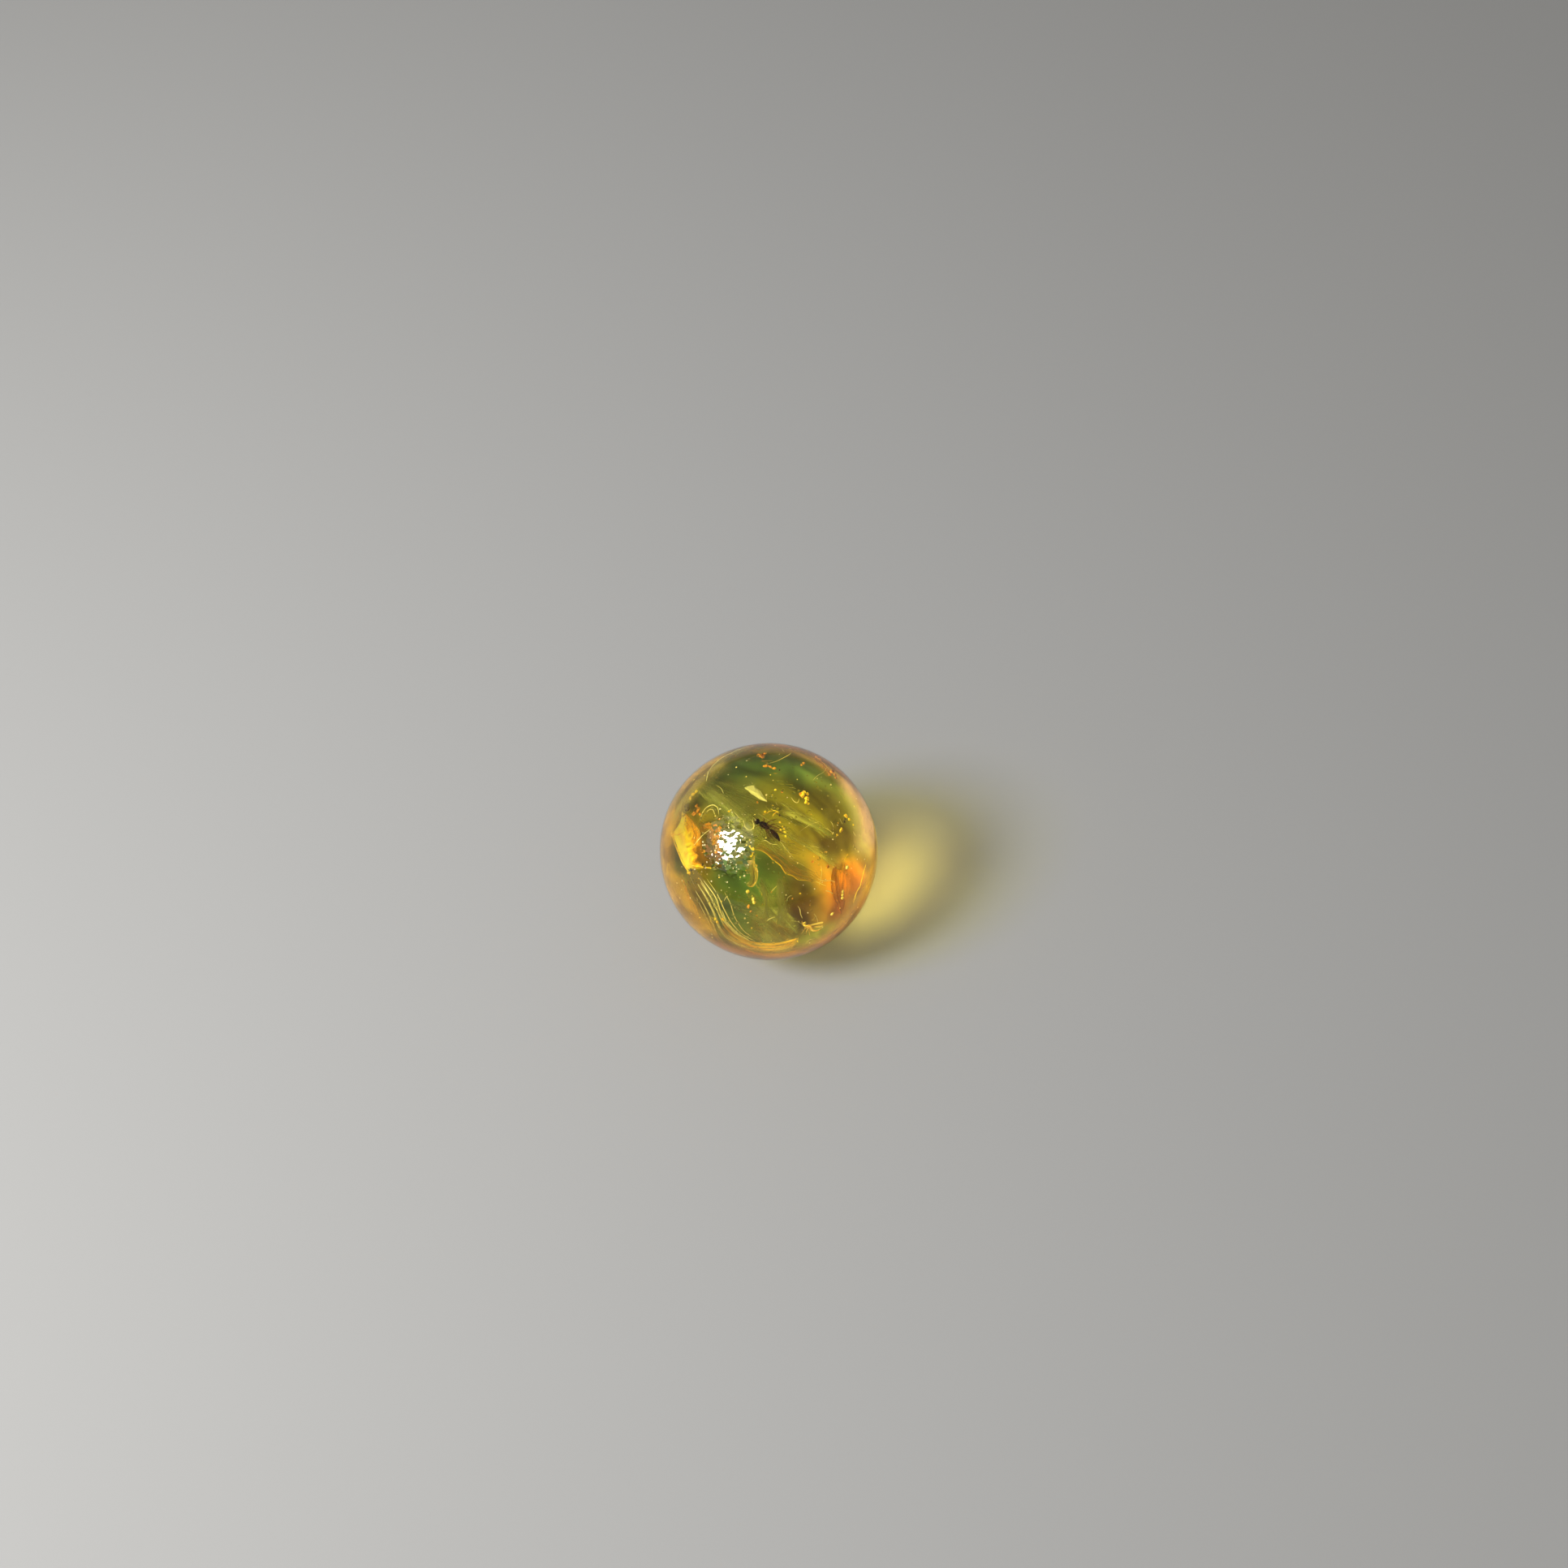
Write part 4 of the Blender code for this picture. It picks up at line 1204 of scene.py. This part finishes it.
# The gnat's body as seen from above, since it lies on its side: a place and its half thickness
GNAT_BODY = (
    ((-0.50, 0.41), 0.018), ((-0.48, 0.39), 0.040), ((-0.43, 0.35), 0.086), ((-0.36, 0.30), 0.092),
    ((-0.30, 0.25), 0.048), ((-0.23, 0.20), 0.098), ((-0.11, 0.12), 0.148), ((0.02, 0.02), 0.140),
    ((0.12, -0.10), 0.094), ((0.19, -0.26), 0.088), ((0.29, -0.43), 0.086), ((0.44, -0.55), 0.080),
    ((0.62, -0.58), 0.070), ((0.79, -0.50), 0.054), ((0.89, -0.38), 0.034), ((0.92, -0.31), 0.016),
)


INSECT_WIDER = 1.18
INSECT_HIGHER = 1.12
WING_HALF_THICKNESS = 0.004


def placing(place, heading):
    return Matrix.Translation(place) @ Matrix.Rotation(heading, 4, "Z") @ Matrix.Scale(MM, 4)


def ringed(stations, rings_from, rings_to, segments, depth):
    """Smooths the stations and cuts the grooves between a body's segments."""
    centres = smooth_route([station[0] for station in stations], 6)
    sizes = smooth_route([Vector((station[1], station[2], 0.0)) for station in stations], 6)
    smooth = []
    for index, (centre, size) in enumerate(zip(centres, sizes)):
        share = index / (len(centres) - 1)
        groove = 0.0
        if rings_from <= share <= rings_to:
            turns = (share - rings_from) / (rings_to - rings_from) * segments
            groove = depth * (1.0 - abs(math.sin(math.pi * turns))) ** 3
        smooth.append((centre, max(size.x, 0.004) * (1.0 - groove), max(size.y, 0.004) * (1.0 - groove)))
    return smooth


def jointed_limb(points, thick, thin, knees):
    """A limb's line with a thickness at each place, thicker in its upper parts and at its joints."""
    route = smooth_route([Vector(point) for point in points], 8)
    line = []
    for index, place in enumerate(route):
        share = index / (len(route) - 1)
        half = thick + (thin - thick) * share**0.7
        for knee in knees:
            half *= 1.0 + 0.45 * math.exp(-(((share - knee) / 0.035) ** 2))
        line.append((place, half))
    return line


def wing_outline(root, tip, half_width, arch, rows=9, columns=26):
    """Rows of places over one thin wing, from its root to its round tip."""
    root, tip = Vector(root), Vector(tip)
    forward = (tip - root).normalized()
    side = UP.cross(forward).normalized()
    lines = []
    for column in range(columns):
        t = 0.99 * math.sin(0.5 * math.pi * column / (columns - 1))
        centre = root.lerp(tip, t)
        centre.z += arch * math.sin(math.pi * t)
        breadth = half_width * (0.12 + 0.93 * t**0.8 * math.sqrt(1.0 - t**5))
        line = []
        for row in range(rows):
            across = 2.0 * row / (rows - 1) - 1.0
            pleat = 0.012 * math.cos(across * 9.0) * t
            line.append(centre + side * breadth * across + UP * pleat)
        lines.append(line)
    return lines


def wing_veins(lines):
    """The veins of one wing: along its front, its back and through it."""
    rows = len(lines[0])
    veins = []
    for row, reach in ((0, 1.0), (2, 0.9), (rows // 2, 0.95), (rows - 3, 0.8), (rows - 1, 0.97)):
        last = max(3, int(len(lines) * reach))
        line = [lines[column][row] for column in range(last)]
        veins.append([(place, 0.009 - 0.004 * index / len(line)) for index, place in enumerate(line)])
    return veins


def make_body(name, slot, node, stations, sides, lumps, matrix, material):
    """An insect's body: its lofted segments and the lumps on them, in its own millimetres."""
    work = bmesh.new()
    loft(work, stations, sides)
    for lump in lumps:
        add_lump(work, *lump)
    bmesh.ops.transform(work, matrix=matrix, verts=work.verts)
    finish_mesh(name, work, 50, material, slot, node)


def make_limbs(name, slot, limbs, matrix, material, strands, sides, unevenness, seed):
    """An insect's limbs or veins along lines in its own millimetres."""
    placed = [[(matrix @ place, half * MM) for place, half in line] for line in limbs]
    make_strands(name, slot, placed, material, strands, sides, unevenness, seed)


def make_wings(name, slot, wings, matrix, membrane, vein_material, strands):
    work = bmesh.new()
    for lines in wings:
        add_sheet(work, lines, WING_HALF_THICKNESS, UP)
    bmesh.ops.transform(work, matrix=matrix, verts=work.verts)
    finish_mesh(name + "_wings", work, 60, membrane, slot)
    veins = [vein for lines in wings for vein in wing_veins(lines)]
    make_limbs(name + "_wing_veins", slot, veins, matrix, vein_material, strands, 5, 0.1, 4.0)


def bend(point):
    """A place on the insect's straight pattern, moved with its bent body."""
    along, across, up = point
    return Vector((along, across + INSECT_BEND * along**2, up - INSECT_DROOP * along**2))


def make_insect(materials, strands):
    """The slim dark insect: body and eyes, jointed legs and feelers, and four clear veined wings."""
    slot = "dark_insect"
    matrix = placing(INSECT_PLACE, INSECT_HEADING)
    stations = [
        (bend((along, 0.0, 0.0)), half_width * INSECT_WIDER, half_height * INSECT_HIGHER)
        for along, half_width, half_height in INSECT_BODY
    ]
    lumps = []
    for side in (-1, 1):
        lumps.append((bend((0.685, 0.098 * side, 0.03)), (0.062, 0.044, 0.056)))
        lumps.append((bend((0.80, 0.03 * side, -0.045)), (0.05, 0.016, 0.014), 2))
        lumps.append((bend((0.25, 0.075 * side, 0.075)), (0.07, 0.045, 0.05), 2))
    segments = ringed(stations, 0.02, 0.30, 7, 0.16)
    make_body("insect_body", slot, "insect", segments, 28, lumps, matrix, materials["dark_shell"])

    legs = (
        ((0.42, 0.05, -0.08), (0.50, 0.22, -0.03), (0.60, 0.34, -0.13), (0.73, 0.42, -0.20)),
        ((0.28, 0.05, -0.09), (0.27, 0.28, -0.02), (0.21, 0.46, -0.13), (0.17, 0.62, -0.21)),
        ((0.14, 0.04, -0.06), (0.02, 0.26, 0.00), (-0.17, 0.39, -0.12), (-0.38, 0.46, -0.20)),
    )
    feeler = ((0.72, 0.05, 0.02), (0.84, 0.12, 0.09), (0.98, 0.19, 0.07), (1.12, 0.24, 0.00))
    knots = [0.25 + 0.08 * index for index in range(10)]
    limbs, wings = [], []
    for sprawl in (0.75, -1.15):
        for points in legs:
            spread = [bend((along, across * sprawl, up)) for along, across, up in points]
            limbs.append(jointed_limb(spread, 0.030, 0.009, (0.33, 0.66, 0.80, 0.88)))
        lean = math.copysign(1.0, sprawl)
        spread = [bend((along, across * lean, up)) for along, across, up in feeler]
        limbs.append(jointed_limb(spread, 0.018, 0.011, knots))
        fore_root, fore_tip = bend((0.30, 0.05 * lean, 0.115)), (-0.80, 0.27 * lean + 0.08, 0.13)
        hind_root, hind_tip = bend((0.16, 0.05 * lean, 0.075)), (-0.50, 0.34 * lean + 0.05, 0.07)
        wings.append(wing_outline(fore_root, fore_tip, 0.155, 0.04))
        wings.append(wing_outline(hind_root, hind_tip, 0.085, 0.02))
    make_limbs("insect_limbs", slot, limbs, matrix, materials["dark_limb"], strands, 8, 0.15, 2.0)
    make_wings("insect", slot, wings, matrix, materials["smoky_wing"], materials["dark_limb"], strands)


def make_gnat(materials, strands):
    """The golden gnat on its side, with its abdomen curled under it."""
    slot = "golden_insect"
    matrix = placing(GNAT_PLACE, 0.0)
    stations = [(Vector((*place, 0.0)), half, half) for place, half in GNAT_BODY]
    lumps = [
        ((-0.415, 0.345, 0.055), (0.05, 0.05, 0.045)),
        ((-0.415, 0.345, -0.055), (0.05, 0.05, 0.045)),
        ((-0.08, 0.16, 0.0), (0.12, 0.08, 0.13)),
    ]
    segments = ringed(stations, 0.50, 0.97, 8, 0.15)
    make_body("gnat_body", slot, "gnat", segments, 24, lumps, matrix, materials["golden_shell"])

    legs = (
        ((-0.20, 0.12, 0.06), (-0.36, -0.08, 0.15), (-0.38, -0.32, 0.10), (-0.50, -0.50, 0.16)),
        ((-0.08, 0.04, 0.07), (-0.17, -0.24, 0.17), (-0.13, -0.48, 0.12), (-0.18, -0.74, 0.15)),
        ((0.03, -0.02, 0.07), (0.04, -0.34, 0.20), (0.12, -0.58, 0.19), (0.17, -0.84, 0.21)),
    )
    feeler = ((-0.44, 0.38, 0.03), (-0.54, 0.48, 0.08), (-0.60, 0.60, 0.10), (-0.60, 0.73, 0.08))
    knots = [0.2 + 0.08 * index for index in range(10)]
    limbs, wings = [], []
    for lean in (-1.0, 1.0):
        for points in legs:
            spread = [(x + 0.05 * lean, y, z * lean) for x, y, z in points]
            limbs.append(jointed_limb(spread, 0.028, 0.010, (0.33, 0.66, 0.82)))
        limbs.append(jointed_limb([(x, y, z * lean) for x, y, z in feeler], 0.017, 0.010, knots))
        tip = (0.93, 0.18 + 0.06 * lean, 0.13 * lean)
        wings.append(wing_outline((-0.08, 0.16, 0.07 * lean), tip, 0.165, 0.03 * lean))
    make_limbs("gnat_limbs", slot, limbs, matrix, materials["golden_limb"], strands, 8, 0.15, 3.0)
    make_wings("gnat", slot, wings, matrix, materials["golden_wing"], materials["golden_limb"], strands)


def shell_material(name, bright, dark, roughness):
    """An insect's shell: satin, with a fine grain and paler patches."""
    material, tree, shader = principled(name, bright, roughness)
    place = object_place(tree)
    grain = cells(tree, place, 26000.0)["Distance"]
    patches = cloud(tree, place, 5200.0, 4.0)
    feed(tree, shader, {
        "Specular IOR Level": 0.2,
        "Base Color": mixed(tree, mapped(tree, patches, 0.40, 0.66), dark, bright),
        "Normal": bump(tree, grain, 0.3, 0.01 * MM),
        "Roughness": mapped(tree, patches, 0.3, 0.7, roughness * 1.4, roughness * 0.8),
    })
    return material


def wing_material(name, colour, alpha):
    """A thin clear wing with a faint net in it."""
    material, tree, shader = principled(name, colour, 0.25)
    place = object_place(tree)
    borders = cells(tree, place, 5200.0, feature="DISTANCE_TO_EDGE")["Distance"]
    net = mapped(tree, borders, 0.0, 0.05, 1.0, 0.0)
    grain = cloud(tree, place, 9000.0, 3.0)
    body = mapped(tree, grain, 0.3, 0.7, alpha * 0.75, alpha * 1.25)
    feed(tree, shader, {
        "Specular IOR Level": 0.1,
        "Base Color": mixed(tree, product(tree, net, 0.5), colour, (0.25, 0.14, 0.05)),
        "Alpha": sums(tree, "MAXIMUM", body, product(tree, net, alpha * 1.6)),
        "Normal": bump(tree, grain, 0.2, 0.02 * MM),
    })
    return material


# The leaf flake

LEAF_OUTLINE = (
    (917, 968.2), (922.8, 966.4), (929.6, 965.2), (932, 968.4), (938, 973), (941.4, 979), (946, 986.4),
    (940.8, 985), (935, 982.2), (929.2, 977.8), (926, 976.4), (922.2, 972.6), (919, 970.4),
)


LEAF_HALF_THICKNESS = 0.035 * MM
LEAF_CUP = 0.07 * MM
LEAF_RINGS = 9


def leaf_place(middle, place, share, half):
    """A place on one side of the cupped and crinkled flake, at a share of the way out from its middle."""
    spot = middle.lerp(place, share)
    crinkle = noise.noise(spot * 2200.0) * 0.035 * MM + noise.noise(spot * 6000.0) * 0.012 * MM
    thin = half * (0.35 + 0.65 * (1.0 - share**3))
    return spot + UP * (thin + crinkle + LEAF_CUP * (1.0 - share**2))


def make_leaf(material):
    """The pale flake, with the torn outline that the photo shows, slightly cupped and crinkled."""
    outline = [seen_on_level(x, y, SEAL_HEIGHT) for x, y in LEAF_OUTLINE]
    middle = sum(outline, Vector()) / len(outline)
    chance = random.Random(57)
    torn = []
    for start, end in zip(outline, [*outline[1:], outline[0]]):
        for step in range(5):
            place = start.lerp(end, step / 5)
            torn.append(place + (place - middle) * chance.uniform(-0.02, 0.02))
    work = bmesh.new()
    sides = []
    for half in (LEAF_HALF_THICKNESS, -LEAF_HALF_THICKNESS):
        levels = []
        for ring in range(LEAF_RINGS):
            share = 1.0 - ring / LEAF_RINGS
            levels.append([work.verts.new(leaf_place(middle, place, share, half)) for place in torn])
        sides.append((levels, work.verts.new(middle + UP * (half + LEAF_CUP))))
    following = [*range(1, len(torn)), 0]
    for levels, centre in sides:
        for outer, inner in zip(levels, levels[1:]):
            for index, after in enumerate(following):
                work.faces.new((outer[index], outer[after], inner[after], inner[index]))
        for index, after in enumerate(following):
            work.faces.new((levels[-1][index], levels[-1][after], centre))
    top, bottom = sides[0][0][0], sides[1][0][0]
    for index, after in enumerate(following):
        work.faces.new((top[index], bottom[index], bottom[after], top[after]))
    finish_mesh("leaf", work, 50, material, "leaf", "leaf_flake")


def leaf_material():
    material, tree, shader = principled("dry pale leaf", (0.90, 0.97, 0.95), 0.55)
    place = object_place(tree)
    lengthways = turned(tree, place, (0.0, 0.0, math.radians(34)), (0.3, 1.0, 1.0))
    veins = cloud(tree, lengthways, 9000.0, 3.0)
    stains = cloud(tree, place, 1800.0, 4.0)
    tint = mixed(tree, mapped(tree, stains, 0.42, 0.7, 0.0, 0.55), (0.80, 0.98, 1.0), (0.58, 0.68, 0.46))
    feed(tree, shader, {
        "Base Color": mixed(tree, mapped(tree, veins, 0.45, 0.65, 0.0, 0.3), tint, (0.88, 1.0, 1.0)),
        "Normal": bump(tree, veins, 0.5, 0.03 * MM),
        "Roughness": mapped(tree, stains, 0.3, 0.7, 0.45, 0.65),
    })
    return material


# Stage


FLOOR_REACH = 2.0
FLOOR_COLOUR = (0.37, 0.366, 0.355)
SKY_COLOUR = (1.0, 0.99, 0.97, 1.0)
SKY_STRENGTH = 0.25
TOWARDS_LAMP = Vector((-0.666, -0.275, 0.693)).normalized()


def make_floor():
    mesh = bpy.data.meshes.new("floor")
    corners = [(x * FLOOR_REACH, y * FLOOR_REACH, 0.0) for x, y in ((-1, -1), (1, -1), (1, 1), (-1, 1))]
    mesh.from_pydata(corners, [], [(0, 1, 2, 3)])
    material, _, _ = principled("pale floor", FLOOR_COLOUR, 0.8)
    new_object("floor", mesh, material)


def make_lamp(name, distance, size, power):
    """A round soft lamp that faces the ball."""
    lamp = bpy.data.lights.new(name, "AREA")
    lamp.energy = power
    lamp.shape = "DISK"
    lamp.size = size
    light = bpy.data.objects.new(name, lamp)
    light.location = CENTRE + TOWARDS_LAMP * distance
    light.rotation_euler = TOWARDS_LAMP.to_track_quat("Z", "Y").to_euler()
    bpy.context.scene.collection.objects.link(light)


def make_lights():
    world = bpy.data.worlds.new("studio")
    world.use_nodes = True
    sky = world.node_tree.nodes["Background"]
    feed(world.node_tree, sky, {"Color": SKY_COLOUR, "Strength": SKY_STRENGTH})
    bpy.context.scene.world = world
    make_lamp("key", 0.30, 0.10, 1.0)
    make_lamp("glow", 0.50, 0.50, 0.60)


def make_camera():
    camera = bpy.data.cameras.new("camera")
    camera.sensor_width = SENSOR
    camera.lens = LENS
    camera.clip_start = 0.001
    focal = LENS / SENSOR * PHOTO_SIZE
    distance = BALL_RADIUS / math.sin(math.atan(BALL_SEEN_RADIUS / focal))
    right_of_middle = BALL_SEEN_AT[0] - PHOTO_SIZE / 2
    below_middle = BALL_SEEN_AT[1] - PHOTO_SIZE / 2
    pitch = LOOK_DOWN - math.atan(below_middle / focal)
    turn = math.asin(right_of_middle / focal / math.cos(LOOK_DOWN))
    viewer = bpy.data.objects.new("camera", camera)
    viewer.location = CENTRE + TOWARDS_CAMERA * distance
    viewer.rotation_euler = (math.pi / 2 - pitch, 0.0, turn)
    bpy.context.scene.collection.objects.link(viewer)
    bpy.context.scene.camera = viewer


def make_flows():
    """The cloudy bed, the veils and hazes before it, and the fracture. The hazes along the outline and the
    pale band at the right are painted light.
    """
    flow_noise = flow_noise_group()
    make_cloudy_bed(cloudy_resin(flow_noise, resin_tint_group()))
    pale_veil = veil_material("pale veil", (0.46, 0.60, 0.30), (0.24, 0.34, 0.15), 0.42, flow_noise)
    gold_veil = veil_material("gold veil", (0.85, 0.62, 0.16), (0.46, 0.36, 0.08), 0.7, flow_noise)
    bright_veil = veil_material("bright veil", (1.0, 0.72, 0.08), (0.95, 0.50, 0.03), 0.95, flow_noise)
    # Orange veils, and the painted glow of focused lamplight
    orange_veil_and_glow = veil_material("orange veil", (0.85, 0.38, 0.03), (0.55, 0.22, 0.02), 0.6, flow_noise)
    # Painted reflection: the pale band at the right
    haze = haze_material("pale haze", (0.76, 0.54, 0.74), (0.56, 0.38, 0.48), 0.38, 0.15, 0.5)
    # Painted rim light: orange, gold and olive hazes along the outline
    orange_rim_light_haze = haze_material("orange haze", (0.40, 0.15, 0.002), (0.20, 0.07, 0.001), 0.60, 0.02, 0.3)
    gold_rim_light_haze = haze_material("gold haze", (0.62, 0.36, 0.005), (0.38, 0.20, 0.003), 0.50, 0.02, 0.45)
    olive_rim_light_haze = haze_material("olive haze", (0.40, 0.32, 0.04), (0.26, 0.19, 0.025), 0.55, 0.3)
    streak = haze_material("pale streaks", (0.80, 0.98, 0.55), (0.56, 0.74, 0.36), 0.92, 0.3, 0.3)
    make_veils("pale_veils", placed_veils(PALE_VEILS), pale_veil, 0.12 * MM)
    make_veils("gold_veils", placed_veils(GOLD_VEILS), gold_veil, 0.12 * MM)
    make_veils("bright_veils", placed_veils(BRIGHT_VEILS), bright_veil, 0.08 * MM)
    make_veils("orange_veils_and_glow", placed_veils(ORANGE_VEILS_AND_GLOW), orange_veil_and_glow, 0.2 * MM)
    make_veils("haze", placed_veils(REFLECTION_BAND_VEILS), haze, 0.0)
    make_veils("orange_rim_light_haze", rim_arcs(RIM_ARCS), orange_rim_light_haze, 0.0)
    make_veils("gold_rim_light_haze", rim_arcs(GOLD_ARCS), gold_rim_light_haze, 0.0)
    make_veils("olive_rim_light_haze", rim_arcs(OLIVE_ARCS), olive_rim_light_haze, 0.0)
    make_veils("streaks", placed_veils(STREAK_VEILS), streak, 0.1 * MM)
    make_veils("loose_veils", loose_veils(), pale_veil, 0.25 * MM, 9, 28, 40)
    make_fracture(fracture_material())


def grain_materials():
    return {
        "pale": grain_material("pale threads", (0.92, 0.95, 0.60), (0.70, 0.70, 0.35), 0.35),
        "gold": grain_material("gold crumbs", (1.0, 0.90, 0.08), (0.90, 0.58, 0.05), 0.3, 5000.0),
        "orange": grain_material("orange crumbs", (0.88, 0.44, 0.04), (0.50, 0.20, 0.02), 0.4, 5000.0),
        "bright": grain_material("bright crumbs", (1.0, 0.95, 0.40), (1.0, 0.80, 0.15), 0.2, 5000.0),
        "dark": grain_material("dark crumbs", (0.10, 0.09, 0.03), (0.04, 0.035, 0.012), 0.4, 5000.0),
        # Pale dust, also the white specks painted as glints round the scuffed patch
        "dust_and_glint_specks": grain_material("dust_and_glint_specks", (0.98, 0.98, 0.90), (0.80, 0.78, 0.62), 0.5),
    }


def insect_materials():
    return {
        "dark_shell": shell_material("dark shell", (0.030, 0.012, 0.007), (0.010, 0.005, 0.004), 0.25),
        "dark_limb": shell_material("dark limbs", (0.20, 0.10, 0.04), (0.06, 0.03, 0.012), 0.35),
        "smoky_wing": wing_material("smoky wings", (0.05, 0.025, 0.015), 0.05),
        "golden_shell": shell_material("golden shell", (1.0, 0.86, 0.25), (0.70, 0.42, 0.08), 0.3),
        "golden_limb": shell_material("golden limbs", (0.95, 0.78, 0.25), (0.65, 0.40, 0.10), 0.35),
        "golden_wing": wing_material("golden wings", (1.0, 0.85, 0.30), 0.5),
    }


def make_crumbs(trees):
    """The lines, crumbs and specks that the photo shows, then those strewn at random."""
    looks = grain_materials()
    for name, table, look, seed in (
        ("pale_lines", PALE_LINES, "pale", 1.0),
        ("gold_lines", GOLD_LINES, "gold", 5.0),
    ):
        make_strands(name, "inclusions", placed_lines(table), looks[look], trees["strands"], 6, 0.5, seed)
    grains = trees["grains"]
    make_grains("gold_grains", placed_grains(GOLD_GRAINS), looks["gold"], grains, 11, 2.2, 0.35, 4)
    make_grains("orange_grains", placed_grains(ORANGE_GRAINS), looks["orange"], grains, 12, 2.2, 0.4, 4)
    make_grains("bright_grains", placed_grains(BRIGHT_GRAINS), looks["bright"], grains, 14, 0.5, 0.2, 4)
    make_grains("dark_grains", placed_grains(DARK_GRAINS), looks["dark"], grains, 13, 0.6, 0.3, 3)
    make_grains("specks", placed_specks(), looks["bright"], grains, 15, 0.4, 0.2, 2)
    make_scatter(looks, trees)


def main():
    bpy.context.scene.view_settings.view_transform = "Standard"
    bpy.context.scene.cycles.transparent_max_bounces = 64
    make_camera()
    make_floor()
    make_lights()
    make_ball(polished_amber())
    make_flows()
    trees = {"strands": strand_tree(), "grains": grain_tree()}
    make_crumbs(trees)
    materials = insect_materials()
    make_insect(materials, trees["strands"])
    make_gnat(materials, trees["strands"])
    make_leaf(leaf_material())


main()
